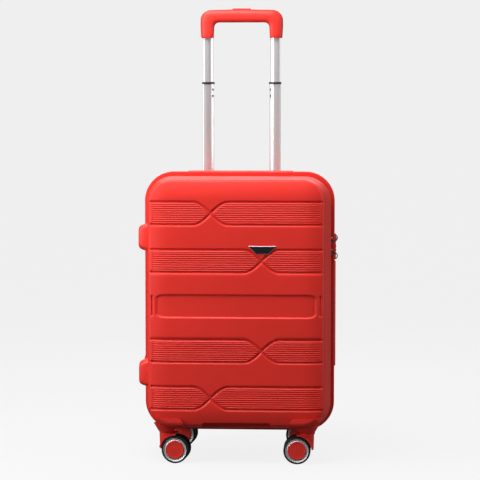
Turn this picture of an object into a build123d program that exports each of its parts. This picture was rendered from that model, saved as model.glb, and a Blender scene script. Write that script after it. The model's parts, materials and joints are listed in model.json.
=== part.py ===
"""Cabin suitcase: a hard shell case on four twin-wheel casters, with a two-stage trolley handle.

Millimetres. X runs across the case, -Y is its front, +Z is up. The origin is on the floor, under
the middle of the case. The case opens like a book, about its left side.
"""

import os
from math import radians, tan

from build123d import *

os.makedirs("parts", exist_ok=True)

# Case halves
CASE_MIDDLE = 294.0  # height of the middle of the case above the floor
BODY_HALF_WIDTH = 175.5  # outline of each half at its rim
BODY_HALF_HEIGHT = 241.0
BODY_CORNER = 50.0
FACE_CORNER = 42.5
FRONT_FACE_HALF_WIDTH = 163.5
FRONT_FACE_TOP = 533.0
FRONT_FACE_BOTTOM = 71.5  # the front half rises off its casters
BAND_HALF_WIDTH = 182.0  # raised band round the back half's rim
BAND_HALF_HEIGHT = 249.0
BAND_CORNER = 56.0
BAND_DEPTH = 18.0
WALL = 2.5
DRAFT = 4.3  # degrees that the sides lean in towards each face
EDGE_RADIUS = 10.0
FRONT_RIM = -14.0
FRONT_FACE = -113.0
BACK_RIM = 12.0
BACK_FACE = 113.0
FLANGE = 5.5  # width of the flange that the zip is sewn to
FRONT = -1
BACK = 1

# Moulded pattern of the front
PATTERN_MIDDLE = 297.0
PATTERN_HALF_WIDTH = 158.0
GROOVE_OFFSETS = (20.5, 63.0, 104.8, 151.5, 193.5)  # above and below the pattern's middle
GROOVE_WIDTH = 2.4
GROOVE_DEPTH = 1.0
PANEL_HALF_LENGTH = 147.0
PANEL_WIDTH = 34.0
PANEL_DEPTH = 1.0

# Zip and gusset
ZIP_HALF_WIDTH = 174.5
ZIP_HALF_HEIGHT = 240.0
ZIP_CORNER = 49.5
TAPE_THICKNESS = 1.2
TEETH_INNER = 0.2
TEETH_OUTER = 2.6
TEETH_PROUD = 0.9
GUSSET_HALF_LENGTH = 186.0
GUSSET_END_GAP = 2.0
RIM_CLEARANCE = 0.5
SLIDER_HEIGHTS = (412.0, 389.0)

# Trolley handle
TUBE_X = 65.0
TUBE_Y = 90.0
TUBE_BEVEL = 4.0
TUBE_CORNER = 2.0
TUBE_WALL = 1.0
UPPER_TUBE = (18.6, 11.6)
LOWER_TUBE = (21.2, 14.2)
SLEEVE_BORE = (21.8, 14.8)
SLEEVE_WALL = 1.2
SLEEVE_LOW = 66.0
TRAY_FLOOR = 500.0
LOWER_TUBE_LOW = 273.0
LOWER_TUBE_HIGH = 712.0
COLLAR_HEIGHT = 3.0
UPPER_TUBE_LOW = 366.0
UPPER_TUBE_HIGH = 828.0
GRIP_LOW = 800.0
GRIP_UNDERSIDE = 830.0
GRIP_SPLIT = 843.0
GRIP_TOP = 855.5
GRIP_HALF_LENGTH = 80.5
GRIP_DEPTH = 22.0
GRIP_LEG_INNER = 54.0
PIN_WINDOW_HEIGHTS = (703.0, 690.0)
ROD_RADIUS = 2.5

# Carry handles
HANDLE_LENGTH = 206.0
HANDLE_WIDTH = 24.0
HANDLE_THICKNESS = 8.0
HANDLE_Y = 51.0
HANDLE_LEG_SPACING = 180.0
HANDLE_LEG = (14.0, 16.0)
SIDE_HANDLE_HEIGHT = 268.0
POCKET_LENGTH = 120.0
POCKET_WIDTH = 38.0
POCKET_DEPTH = 14.0

# Casters
SWIVEL_X = 132.0
SWIVEL_Y = 85.0
TRAIL = 18.5
WHEEL_RADIUS = 25.5
TYRE_INNER = 22.3
CAP_RADIUS = 17.3
WHEEL_INNER_FACE = 4.2
WHEEL_WIDTH = 14.0
FORK_TOP = 56.9
SOCKET_LOW = 57.6
WEB_THICKNESS = 7.0
KINGPIN_RADIUS = 4.0
AXLE_RADIUS = 2.5
RUNNING = 0.05  # radial clearance of a shaft in its bore


DRAFT_SLOPE = tan(radians(DRAFT))


def finish(block, name):
    """Labels a finished sub-part and writes it."""
    block.part.label = name
    export_step(block.part, f"parts/{name}.step")


def case_plane(depth, toward):
    """Plane across the case at this depth, about its middle, facing the front or the back."""
    return Plane(origin=(0, depth, CASE_MIDDLE), x_dir=(1, 0, 0), z_dir=(0, toward, 0))


def dish(rim, face, inset=0.0):
    """Solid block that one half of the case is the skin of, made smaller by inset."""
    toward = BACK if face > rim else FRONT
    with BuildPart() as block:
        with BuildSketch(case_plane(rim, toward)):
            RectangleRounded(
                2 * (BODY_HALF_WIDTH - inset),
                2 * (BODY_HALF_HEIGHT - inset),
                BODY_CORNER - inset,
            )
        depth = abs(face - rim)
        lean = depth * DRAFT_SLOPE
        if toward == FRONT:
            half_width, top, bottom = FRONT_FACE_HALF_WIDTH, FRONT_FACE_TOP, FRONT_FACE_BOTTOM
        else:
            half_width = BODY_HALF_WIDTH - lean
            top = CASE_MIDDLE + BODY_HALF_HEIGHT - lean
            bottom = CASE_MIDDLE - BODY_HALF_HEIGHT + lean
        back_off = inset / depth
        half_width += (BODY_HALF_WIDTH - half_width) * back_off - inset
        top += (CASE_MIDDLE + BODY_HALF_HEIGHT - top) * back_off - inset
        bottom += (CASE_MIDDLE - BODY_HALF_HEIGHT - bottom) * back_off + inset
        face_plane = Plane(
            origin=(0, face - toward * inset, (top + bottom) / 2),
            x_dir=(1, 0, 0),
            z_dir=(0, toward, 0),
        )
        with BuildSketch(face_plane):
            RectangleRounded(2 * half_width, top - bottom, FACE_CORNER - inset)
        loft(ruled=True)
        flat_face = block.faces().filter_by(Axis.Y).sort_by(Axis.Y)[-1 if toward == BACK else 0]
        fillet(flat_face.edges(), radius=EDGE_RADIUS - inset)
    return block.part


def ring(low_y, high_y, half_width, half_height, corner, thickness):
    """Band of this thickness that follows the case's outline between two depths."""
    with BuildPart() as band:
        with BuildSketch(case_plane(low_y, BACK)):
            RectangleRounded(2 * half_width, 2 * half_height, corner)
            RectangleRounded(
                2 * (half_width - thickness),
                2 * (half_height - thickness),
                corner - thickness,
                mode=Mode.SUBTRACT,
            )
        extrude(amount=high_y - low_y)
    return band.part


def brick(low, high, grow=0.0):
    """Box between two corners, made larger by grow on every side."""
    with BuildPart() as block:
        middle = [(a + b) / 2 for a, b in zip(low, high)]
        with Locations(tuple(middle)):
            Box(*[b - a + 2 * grow for a, b in zip(low, high)])
    return block.part


HANDLE_SURFACE = BODY_HALF_WIDTH - (HANDLE_Y - BACK_RIM) * DRAFT_SLOPE
TOP_SURFACE = CASE_MIDDLE + BODY_HALF_HEIGHT - (HANDLE_Y - BACK_RIM) * DRAFT_SLOPE

dish_front = dish(FRONT_RIM, FRONT_FACE)
dish_back = dish(BACK_RIM, BACK_FACE)

# ---------------------------------------------------------------- front half

SCOOP = ((-66.0, -125.0, 40.0), (66.0, -75.0, 78.0))  # hand recess under the front edge

with BuildPart() as front_hollow:
    add(dish(FRONT_RIM, FRONT_FACE, WALL))
    add(brick(*SCOOP, grow=WALL), mode=Mode.SUBTRACT)

with BuildPart() as front_shell:
    add(dish_front)
    add(brick(*SCOOP), mode=Mode.SUBTRACT)
    add(front_hollow.part, mode=Mode.SUBTRACT)
    add(ring(FRONT_RIM - WALL, FRONT_RIM, BODY_HALF_WIDTH, BODY_HALF_HEIGHT, BODY_CORNER, FLANGE))
    groove_plane = Plane(origin=(0, FRONT_FACE, PATTERN_MIDDLE), x_dir=(1, 0, 0), z_dir=(0, -1, 0))
    with BuildSketch(groove_plane):
        for offset_up in GROOVE_OFFSETS:
            with Locations((0, offset_up), (0, -offset_up)):
                SlotOverall(2 * PATTERN_HALF_WIDTH, GROOVE_WIDTH)
    extrude(amount=-GROOVE_DEPTH, mode=Mode.SUBTRACT)
    with BuildSketch(groove_plane):
        RectangleRounded(2 * PANEL_HALF_LENGTH, PANEL_WIDTH, 6.0)
    extrude(amount=-PANEL_DEPTH, mode=Mode.SUBTRACT)
    with Locations((-SWIVEL_X, -SWIVEL_Y, SOCKET_LOW), (SWIVEL_X, -SWIVEL_Y, SOCKET_LOW)):
        Cylinder(12.0, 50.0, mode=Mode.SUBTRACT)
finish(front_shell, "front_shell")

BADGE_CENTRE = (49.0, 402.0)
BADGE_TOP = 52.0
BADGE_BOTTOM = 24.0
BADGE_HEIGHT = 15.0
BADGE_THICKNESS = 1.4

with BuildPart() as badge:
    badge_plane = Plane(
        origin=(BADGE_CENTRE[0], FRONT_FACE, BADGE_CENTRE[1]), x_dir=(1, 0, 0), z_dir=(0, -1, 0)
    )
    with BuildSketch(badge_plane):
        Polygon(
            (-BADGE_TOP / 2, BADGE_HEIGHT / 2),
            (-BADGE_BOTTOM / 2, -BADGE_HEIGHT / 2),
            (BADGE_BOTTOM / 2, -BADGE_HEIGHT / 2),
            (BADGE_TOP / 2, BADGE_HEIGHT / 2),
            align=None,
        )
    extrude(amount=BADGE_THICKNESS)
finish(badge, "badge")

# ---------------------------------------------------------------- back half

LOCK_MIDDLE = 400.0
LOCK_LOW = (168.0, 13.4, LOCK_MIDDLE - 24.0)
LOCK_HIGH = (184.5, 33.0, LOCK_MIDDLE + 24.0)
TRAY_HALF_LENGTH = 88.0
TRAY_LOW_Y = 75.5
TRAY_HIGH_Y = 104.5
TRAY_WALL = 2.0


def hand_pocket(grow=0.0):
    """The two recesses that fingers reach into behind the carry handles."""
    with BuildPart() as pockets:
        side_plane = Plane(
            origin=(HANDLE_SURFACE - POCKET_DEPTH - grow, HANDLE_Y, SIDE_HANDLE_HEIGHT),
            x_dir=(0, 1, 0),
            z_dir=(1, 0, 0),
        )
        with BuildSketch(side_plane):
            RectangleRounded(POCKET_WIDTH + 2 * grow, POCKET_LENGTH + 2 * grow, 12.0)
        extrude(amount=POCKET_DEPTH + 12.0)
        top_plane = Plane((0, HANDLE_Y, TOP_SURFACE - POCKET_DEPTH - grow))
        with BuildSketch(top_plane):
            RectangleRounded(POCKET_LENGTH + 2 * grow, POCKET_WIDTH + 2 * grow, 12.0)
        extrude(amount=POCKET_DEPTH + 12.0)
    return pockets.part


with BuildPart() as back_hollow:
    add(dish(BACK_RIM, BACK_FACE, WALL))
    with BuildSketch(case_plane(BACK_RIM, BACK)):
        RectangleRounded(
            2 * (BAND_HALF_WIDTH - WALL), 2 * (BAND_HALF_HEIGHT - WALL), BAND_CORNER - WALL
        )
    extrude(amount=BAND_DEPTH - WALL)
    add(hand_pocket(WALL), mode=Mode.SUBTRACT)

with BuildPart() as back_band:
    with BuildSketch(case_plane(BACK_RIM, BACK)):
        RectangleRounded(2 * BAND_HALF_WIDTH, 2 * BAND_HALF_HEIGHT, BAND_CORNER)
    extrude(amount=BAND_DEPTH)
    fillet(back_band.faces().filter_by(Axis.Y).edges(), radius=2.0)

with BuildPart() as back_shell:
    add(dish_back)
    add(back_band.part)
    add(hand_pocket(), mode=Mode.SUBTRACT)
    add(back_hollow.part, mode=Mode.SUBTRACT)
    add(
        ring(
            BACK_RIM,
            BACK_RIM + WALL,
            BAND_HALF_WIDTH - 1.5,
            BAND_HALF_HEIGHT - 1.5,
            BAND_CORNER - 1.5,
            BAND_HALF_WIDTH - BODY_HALF_WIDTH + FLANGE - 1.5,
        )
    )
    with Locations((-SWIVEL_X, SWIVEL_Y, SOCKET_LOW), (SWIVEL_X, SWIVEL_Y, SOCKET_LOW)):
        Cylinder(12.0, 20.0, mode=Mode.SUBTRACT)
    add(brick(LOCK_LOW, (200.0, LOCK_HIGH[1], LOCK_HIGH[2]), grow=0.1), mode=Mode.SUBTRACT)
    add(
        brick(
            (-TRAY_HALF_LENGTH, TRAY_LOW_Y, TRAY_FLOOR + 10.0),
            (TRAY_HALF_LENGTH, TRAY_HIGH_Y, 560.0),
            grow=0.1,
        ),
        mode=Mode.SUBTRACT,
    )
    leg_length, leg_width = HANDLE_LEG
    with Locations(
        (HANDLE_SURFACE, HANDLE_Y, SIDE_HANDLE_HEIGHT - HANDLE_LEG_SPACING / 2),
        (HANDLE_SURFACE, HANDLE_Y, SIDE_HANDLE_HEIGHT + HANDLE_LEG_SPACING / 2),
    ):
        Box(20.0, leg_width + 0.8, leg_length + 0.8, mode=Mode.SUBTRACT)
    with Locations(
        (-HANDLE_LEG_SPACING / 2, HANDLE_Y, TOP_SURFACE),
        (HANDLE_LEG_SPACING / 2, HANDLE_Y, TOP_SURFACE),
    ):
        Box(leg_length + 0.8, leg_width + 0.8, 20.0, mode=Mode.SUBTRACT)
finish(back_shell, "back_shell")

# ---------------------------------------------------------------- zip and gusset

gusset_gap = brick(
    (-200.0, -20.0, CASE_MIDDLE - GUSSET_HALF_LENGTH - GUSSET_END_GAP),
    (-165.0, 20.0, CASE_MIDDLE + GUSSET_HALF_LENGTH + GUSSET_END_GAP),
)

for name, tape_low, tape_high, teeth_low, teeth_high in (
    ("front", FRONT_RIM, -TEETH_OUTER, -TEETH_OUTER, -TEETH_INNER),
    ("back", TEETH_OUTER, BACK_RIM, TEETH_INNER, TEETH_OUTER),
):
    with BuildPart() as zip_tape:
        add(ring(tape_low, tape_high, ZIP_HALF_WIDTH, ZIP_HALF_HEIGHT, ZIP_CORNER, TAPE_THICKNESS))
        add(gusset_gap, mode=Mode.SUBTRACT)
    finish(zip_tape, f"{name}_zip_tape")

    with BuildPart() as zip_teeth:
        add(
            ring(
                teeth_low,
                teeth_high,
                ZIP_HALF_WIDTH + TEETH_PROUD,
                ZIP_HALF_HEIGHT + TEETH_PROUD,
                ZIP_CORNER + TEETH_PROUD,
                TAPE_THICKNESS + 2 * TEETH_PROUD,
            )
        )
        add(gusset_gap, mode=Mode.SUBTRACT)
    finish(zip_teeth, f"{name}_zip_teeth")

with BuildPart() as hinge_strip:
    add(
        brick(
            (-ZIP_HALF_WIDTH - 0.5, FRONT_RIM + RIM_CLEARANCE, CASE_MIDDLE - GUSSET_HALF_LENGTH),
            (
                -ZIP_HALF_WIDTH + TAPE_THICKNESS,
                BACK_RIM - RIM_CLEARANCE,
                CASE_MIDDLE + GUSSET_HALF_LENGTH,
            ),
        )
    )
finish(hinge_strip, "hinge_strip")

SLIDER_LOW_X = ZIP_HALF_WIDTH + TEETH_PROUD + 0.5
SLIDER_THICKNESS = 2.5
SLIDER_HALF_WIDTH = 5.0
SLIDER_HALF_LENGTH = 7.0
PULL_PIVOT_X = SLIDER_LOW_X + SLIDER_THICKNESS + 2.2
PULL_HALF_WIDTH = 2.8
PULL_PIN_RADIUS = 0.9
PULL_ARC_RADIUS = 5.8
PULL_THICKNESS = 1.6

for name, height, up in (("upper", SLIDER_HEIGHTS[0], 1), ("lower", SLIDER_HEIGHTS[1], -1)):
    pivot_plane = Plane(
        origin=(PULL_PIVOT_X, 0, height), x_dir=(1, 0, 0), z_dir=(0, -1, 0)
    )
    with BuildPart() as slider:
        with BuildSketch(Plane(origin=(SLIDER_LOW_X, 0, height), x_dir=(0, 1, 0), z_dir=(1, 0, 0))):
            RectangleRounded(2 * SLIDER_HALF_WIDTH, 2 * SLIDER_HALF_LENGTH, 3.0)
        extrude(amount=SLIDER_THICKNESS)
        with BuildSketch(pivot_plane.offset(-SLIDER_HALF_WIDTH + 0.6)):
            Circle(2.0)
            with Locations((-1.4, 0)):
                Rectangle(2.8, 4.0)
        extrude(amount=2 * (SLIDER_HALF_WIDTH - 0.6))
        with BuildSketch(pivot_plane.offset(-PULL_HALF_WIDTH - 0.3)):
            with Locations((0.1, 0)):
                Rectangle(4.4, 8.0)
        extrude(amount=2 * (PULL_HALF_WIDTH + 0.3), mode=Mode.SUBTRACT)
        with BuildSketch(pivot_plane.offset(-10.0)):
            Circle(PULL_PIN_RADIUS + RUNNING)
        extrude(amount=20.0, mode=Mode.SUBTRACT)
    finish(slider, f"slider_{name}")

    with BuildPart() as pull:
        with BuildSketch(pivot_plane.offset(-PULL_HALF_WIDTH)):
            with Locations((1.0, up * PULL_ARC_RADIUS)):
                Circle(PULL_ARC_RADIUS + PULL_THICKNESS / 2)
                Circle(PULL_ARC_RADIUS - PULL_THICKNESS / 2, mode=Mode.SUBTRACT)
            with Locations((-8.0 + 1.0, up * 8.0)):
                Rectangle(16.0 - 2.0, 16.0, mode=Mode.SUBTRACT)
            Circle(1.7)
        extrude(amount=2 * PULL_HALF_WIDTH)
        with BuildSketch(pivot_plane.offset(-SLIDER_HALF_WIDTH + 0.6)):
            Circle(PULL_PIN_RADIUS)
        extrude(amount=2 * (SLIDER_HALF_WIDTH - 0.6))
    finish(pull, f"pull_{name}")

# ---------------------------------------------------------------- combination lock

DIAL_RADIUS = 6.5
DIAL_HEIGHTS = (386.0, 393.0, 400.0)
DIAL_THICKNESS = 4.4
DIAL_CENTRE = (178.6, 23.0)
SPINDLE_RADIUS = 1.5
LOCK_BUTTON_HEIGHT = 414.0
LOCK_BUTTON = (9.0, 10.0, 8.0)
LOCK_BUTTON_PROUD = 1.5

button_low = (
    LOCK_HIGH[0] + LOCK_BUTTON_PROUD - LOCK_BUTTON[0],
    DIAL_CENTRE[1] - LOCK_BUTTON[1] / 2,
    LOCK_BUTTON_HEIGHT - LOCK_BUTTON[2] / 2,
)
button_high = (
    LOCK_HIGH[0] + LOCK_BUTTON_PROUD,
    DIAL_CENTRE[1] + LOCK_BUTTON[1] / 2,
    LOCK_BUTTON_HEIGHT + LOCK_BUTTON[2] / 2,
)

with BuildPart() as lock_housing:
    add(brick(LOCK_LOW, LOCK_HIGH))
    fillet(lock_housing.faces().sort_by(Axis.X)[-1].edges(), radius=1.5)
    for height in DIAL_HEIGHTS:
        with Locations((*DIAL_CENTRE, height)):
            Cylinder(DIAL_RADIUS + 0.4, DIAL_THICKNESS + 0.6, mode=Mode.SUBTRACT)
    with Locations((*DIAL_CENTRE, DIAL_HEIGHTS[1])):
        Cylinder(SPINDLE_RADIUS, DIAL_HEIGHTS[2] - DIAL_HEIGHTS[0] + 8.0)
    add(brick((button_low[0] - 3.0, *button_low[1:]), (200.0, *button_high[1:]), 0.3), mode=Mode.SUBTRACT)
finish(lock_housing, "lock_housing")

for number, height in enumerate(DIAL_HEIGHTS, start=1):
    with BuildPart() as lock_dial:
        with Locations((*DIAL_CENTRE, height)):
            Cylinder(DIAL_RADIUS, DIAL_THICKNESS)
            Cylinder(SPINDLE_RADIUS + RUNNING, DIAL_THICKNESS, mode=Mode.SUBTRACT)
        chamfer(lock_dial.edges().filter_by(GeomType.CIRCLE).sort_by(SortBy.RADIUS)[-2:], 0.5)
    finish(lock_dial, f"lock_dial_{number}")

with BuildPart() as lock_button:
    add(brick(button_low, button_high))
    fillet(lock_button.faces().sort_by(Axis.X)[-1].edges(), radius=1.0)
finish(lock_button, "lock_button")

# ---------------------------------------------------------------- side feet

FOOT_HEIGHTS = (421.0, 163.5)
FOOT_LENGTH = 50.0
FOOT_OUTER_X = -187.0

for name, foot_y, core in (("front", -44.0, dish_front), ("back", 54.0, dish_back)):
    with BuildPart() as side_feet:
        for height in FOOT_HEIGHTS:
            foot_plane = Plane(origin=(-168.0, foot_y, height), x_dir=(0, 1, 0), z_dir=(-1, 0, 0))
            with BuildSketch(foot_plane):
                RectangleRounded(38.0, FOOT_LENGTH, 6.0)
            extrude(amount=-168.0 - FOOT_OUTER_X, taper=14)
        outer_faces = side_feet.faces().filter_by(Axis.X).sort_by(Axis.X)[0:2]
        fillet(outer_faces.edges(), radius=1.5)
        add(core, mode=Mode.SUBTRACT)
    finish(side_feet, f"{name}_side_feet")

# ---------------------------------------------------------------- carry handles


def carry_handle(plane, name):
    """Slim grip with two legs; the plane lies on the case's surface, its x along the handle."""
    with BuildPart() as handle:
        with BuildSketch(plane.offset(3.5)):
            RectangleRounded(HANDLE_LENGTH, HANDLE_WIDTH, 9.0)
        extrude(amount=HANDLE_THICKNESS)
        top_face = handle.faces().sort_by(Axis(plane.origin, plane.z_dir))[-1]
        fillet(top_face.edges(), radius=3.5)
        with BuildSketch(plane.offset(-22.5)):
            with GridLocations(HANDLE_LEG_SPACING, 0, 2, 1):
                Rectangle(*HANDLE_LEG)
        extrude(amount=26.0)
    finish(handle, name)


side_handle_plane = Plane(
    origin=(HANDLE_SURFACE, HANDLE_Y, SIDE_HANDLE_HEIGHT), x_dir=(0, 0, 1), z_dir=(1, 0, 0)
)
top_handle_plane = Plane(origin=(0, HANDLE_Y, TOP_SURFACE), x_dir=(1, 0, 0), z_dir=(0, 0, 1))
carry_handle(side_handle_plane, "side_handle")
carry_handle(top_handle_plane, "top_handle")

with BuildPart() as handle_mounts:
    for plane in (side_handle_plane, top_handle_plane):
        with BuildSketch(plane.offset(-25.0)):
            with GridLocations(HANDLE_LEG_SPACING, 0, 2, 1):
                RectangleRounded(HANDLE_LEG[0] + 6.0, HANDLE_LEG[1] + 6.0, 2.0)
                Rectangle(HANDLE_LEG[0] + 0.8, HANDLE_LEG[1] + 0.8, mode=Mode.SUBTRACT)
        extrude(amount=21.0)
finish(handle_mounts, "handle_mounts")

# ---------------------------------------------------------------- trolley handle


def tube_section(side, size, bevel):
    """Section of a trolley tube, bevelled on the side that faces the other tube."""
    width, depth = size
    inner = -side * width / 2
    outer = side * width / 2
    with BuildSketch() as section:
        Polygon(
            (outer, -depth / 2),
            (outer, depth / 2),
            (inner + side * bevel, depth / 2),
            (inner, depth / 2 - bevel),
            (inner, -depth / 2 + bevel),
            (inner + side * bevel, -depth / 2),
            align=None,
        )
        fillet(section.vertices().group_by(Axis.X)[-1 if side > 0 else 0], radius=TUBE_CORNER)
    return section.sketch


def tube_pair(low, high, size, bore=None):
    """The two tubes of one stage between two heights, or the space that they fill."""
    with BuildPart() as pair:
        for side in (-1, 1):
            with BuildSketch(Plane((side * TUBE_X, TUBE_Y, low))):
                add(tube_section(side, size, TUBE_BEVEL))
                if bore:
                    add(tube_section(side, bore, TUBE_BEVEL - 0.6), mode=Mode.SUBTRACT)
            extrude(amount=high - low)
    return pair.part


def bore_of(size, wall):
    """Inside size of a tube of this outside size and wall."""
    return (size[0] - 2 * wall, size[1] - 2 * wall)


SLEEVE = (SLEEVE_BORE[0] + 2 * SLEEVE_WALL, SLEEVE_BORE[1] + 2 * SLEEVE_WALL)
COLLAR = (24.4, 17.4)

with BuildPart() as trolley_sleeves:
    add(tube_pair(SLEEVE_LOW, TRAY_FLOOR, SLEEVE, SLEEVE_BORE))
finish(trolley_sleeves, "trolley_sleeves")

with BuildPart() as trolley_foot_bracket:
    add(brick((-84.0, TUBE_Y - 12.0, 50.0), (84.0, TUBE_Y + 12.0, 80.0)))
    fillet(trolley_foot_bracket.edges().filter_by(Axis.Z), radius=4.0)
    add(dish(BACK_RIM, BACK_FACE, WALL), mode=Mode.INTERSECT)
    add(brick((-46.0, TUBE_Y - 20.0, 68.0), (46.0, TUBE_Y + 20.0, 90.0)), mode=Mode.SUBTRACT)
    add(tube_pair(SLEEVE_LOW, 90.0, SLEEVE), mode=Mode.SUBTRACT)
finish(trolley_foot_bracket, "trolley_foot_bracket")

with BuildPart() as trolley_bezel:
    with BuildSketch(Plane((0, (TRAY_LOW_Y + TRAY_HIGH_Y) / 2, 518.0))):
        RectangleRounded(2 * TRAY_HALF_LENGTH + 8.0, TRAY_HIGH_Y - TRAY_LOW_Y + 7.0, 8.0)
    extrude(amount=18.5)
    fillet(trolley_bezel.faces().sort_by(Axis.Z)[-1].edges(), radius=2.0)
    add(dish_back, mode=Mode.SUBTRACT)
    add(
        brick(
            (-TRAY_HALF_LENGTH, TRAY_LOW_Y, TRAY_FLOOR),
            (TRAY_HALF_LENGTH, TRAY_HIGH_Y, 533.0),
        )
    )
    add(
        brick(
            (-TRAY_HALF_LENGTH + TRAY_WALL, TRAY_LOW_Y + TRAY_WALL, TRAY_FLOOR + TRAY_WALL),
            (TRAY_HALF_LENGTH - TRAY_WALL, TRAY_HIGH_Y - TRAY_WALL, 560.0),
        ),
        mode=Mode.SUBTRACT,
    )
    add(tube_pair(TRAY_FLOOR - 1.0, TRAY_FLOOR + 5.0, SLEEVE_BORE), mode=Mode.SUBTRACT)
finish(trolley_bezel, "trolley_bezel")

LOWER_BORE = bore_of(LOWER_TUBE, TUBE_WALL)

with BuildPart() as lower_tubes:
    add(tube_pair(LOWER_TUBE_LOW, LOWER_TUBE_HIGH, LOWER_TUBE, LOWER_BORE))
    for side in (-1, 1):
        inner_edge = side * (TUBE_X - LOWER_TUBE[0] / 2 + TUBE_BEVEL / 2)
        front_edge = TUBE_Y - LOWER_TUBE[1] / 2 + TUBE_BEVEL / 2
        for height in PIN_WINDOW_HEIGHTS:
            with Locations(Location((inner_edge, front_edge, height), (0, 0, side * 45))):
                Box(2.6, 6.0, 6.5, mode=Mode.SUBTRACT)
finish(lower_tubes, "lower_tubes")

with BuildPart() as lower_collars:
    add(tube_pair(LOWER_TUBE_HIGH, LOWER_TUBE_HIGH + COLLAR_HEIGHT, COLLAR, LOWER_BORE))
finish(lower_collars, "lower_collars")

UPPER_BORE = bore_of(UPPER_TUBE, TUBE_WALL)
PIN_HEIGHT = UPPER_TUBE_LOW + 10.0
PLUG_HEIGHT = 20.0

pin_cutter = Plane(origin=(0, TUBE_Y, PIN_HEIGHT), x_dir=(0, 1, 0), z_dir=(1, 0, 0))
PIN_REACH = TUBE_X - UPPER_TUBE[0] / 2

with BuildPart() as upper_tubes:
    add(tube_pair(UPPER_TUBE_LOW, UPPER_TUBE_HIGH, UPPER_TUBE, UPPER_BORE))
    with BuildSketch(pin_cutter):
        Circle(2.1)
    extrude(amount=TUBE_X, both=True, mode=Mode.SUBTRACT)
finish(upper_tubes, "upper_tubes")

with BuildPart() as lock_pins:
    add(tube_pair(UPPER_TUBE_LOW, UPPER_TUBE_LOW + PLUG_HEIGHT, bore_of(UPPER_BORE, 0.1)))
    for side in (-1, 1):
        with BuildSketch(pin_cutter.offset(side * PIN_REACH)):
            Circle(2.0)
        extrude(amount=side * 6.0)
finish(lock_pins, "lock_pins")

YOKE_LOW = 841.5
YOKE_HIGH = 846.5
YOKE_HALF_LENGTH = 72.0
BUTTON_LENGTH = 36.0
BUTTON_WIDTH = 12.0
BUTTON_TOP = 857.0

with BuildPart() as grip_form:
    grip_plane = Plane(origin=(0, TUBE_Y - GRIP_DEPTH / 2, 0), x_dir=(1, 0, 0), z_dir=(0, -1, 0))
    with BuildSketch(grip_plane) as grip_outline:
        with Locations((0, (GRIP_LOW + GRIP_TOP) / 2)):
            Rectangle(2 * GRIP_HALF_LENGTH, GRIP_TOP - GRIP_LOW)
        fillet(grip_outline.vertices().group_by(Axis.Y)[-1], radius=20.0)
        with BuildSketch(mode=Mode.PRIVATE) as hand_space:
            with Locations((0, GRIP_UNDERSIDE - 30.0)):
                Rectangle(2 * GRIP_LEG_INNER, 60.0)
            fillet(hand_space.vertices().group_by(Axis.Y)[-1], radius=9.0)
        add(hand_space.sketch, mode=Mode.SUBTRACT)
    extrude(amount=-GRIP_DEPTH)
    chamfer(grip_form.faces().filter_by(Axis.Y).edges(), 3.0)

yoke_space = brick(
    (-YOKE_HALF_LENGTH - 2.0, TUBE_Y - 5.5, YOKE_LOW - 3.5),
    (YOKE_HALF_LENGTH + 2.0, TUBE_Y + 5.5, YOKE_HIGH + 2.0),
)

with BuildPart() as grip_cover_bottom:
    add(grip_form.part)
    split(bisect_by=Plane.XY.offset(GRIP_SPLIT), keep=Keep.BOTTOM)
    add(tube_pair(GRIP_LOW - 1.0, UPPER_TUBE_HIGH, UPPER_TUBE), mode=Mode.SUBTRACT)
    add(yoke_space, mode=Mode.SUBTRACT)
    with Locations((-TUBE_X, TUBE_Y, GRIP_UNDERSIDE), (TUBE_X, TUBE_Y, GRIP_UNDERSIDE)):
        Cylinder(ROD_RADIUS + 0.4, 30.0, mode=Mode.SUBTRACT)
    with Locations((-29.0, TUBE_Y, GRIP_UNDERSIDE), (29.0, TUBE_Y, GRIP_UNDERSIDE)):
        Cylinder(2.6, 5.0, mode=Mode.SUBTRACT)
finish(grip_cover_bottom, "grip_cover_bottom")

with BuildPart() as grip_cover_top:
    add(grip_form.part)
    split(bisect_by=Plane.XY.offset(GRIP_SPLIT), keep=Keep.TOP)
    add(yoke_space, mode=Mode.SUBTRACT)
    with BuildSketch(Plane((0, TUBE_Y, GRIP_SPLIT))):
        RectangleRounded(BUTTON_LENGTH + 0.6, BUTTON_WIDTH + 0.6, 4.3)
    extrude(amount=20.0, mode=Mode.SUBTRACT)
finish(grip_cover_top, "grip_cover_top")

with BuildPart() as grip_button:
    with BuildSketch(Plane((0, TUBE_Y, YOKE_HIGH))):
        RectangleRounded(BUTTON_LENGTH, BUTTON_WIDTH, 4.0)
    extrude(amount=BUTTON_TOP - YOKE_HIGH)
    fillet(grip_button.faces().sort_by(Axis.Z)[-1].edges(), radius=1.0)
finish(grip_button, "grip_button")

with BuildPart() as push_rods:
    add(
        brick(
            (-YOKE_HALF_LENGTH, TUBE_Y - 4.0, YOKE_LOW),
            (YOKE_HALF_LENGTH, TUBE_Y + 4.0, YOKE_HIGH),
        )
    )
    rod_low = UPPER_TUBE_LOW + PLUG_HEIGHT + 4.0
    with BuildSketch(Plane((0, TUBE_Y, rod_low))):
        with GridLocations(2 * TUBE_X, 0, 2, 1):
            Circle(ROD_RADIUS)
    extrude(amount=YOKE_LOW + 1.0 - rod_low)
finish(push_rods, "push_rods")

# ---------------------------------------------------------------- caster sockets

GUARD_THICKNESS = 1.2
GUARD_INNER_X = 98.0
GUARD_HIGH = 87.0
GUARD_REACH = 52.0
BOSS_HIGH = 84.0

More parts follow.
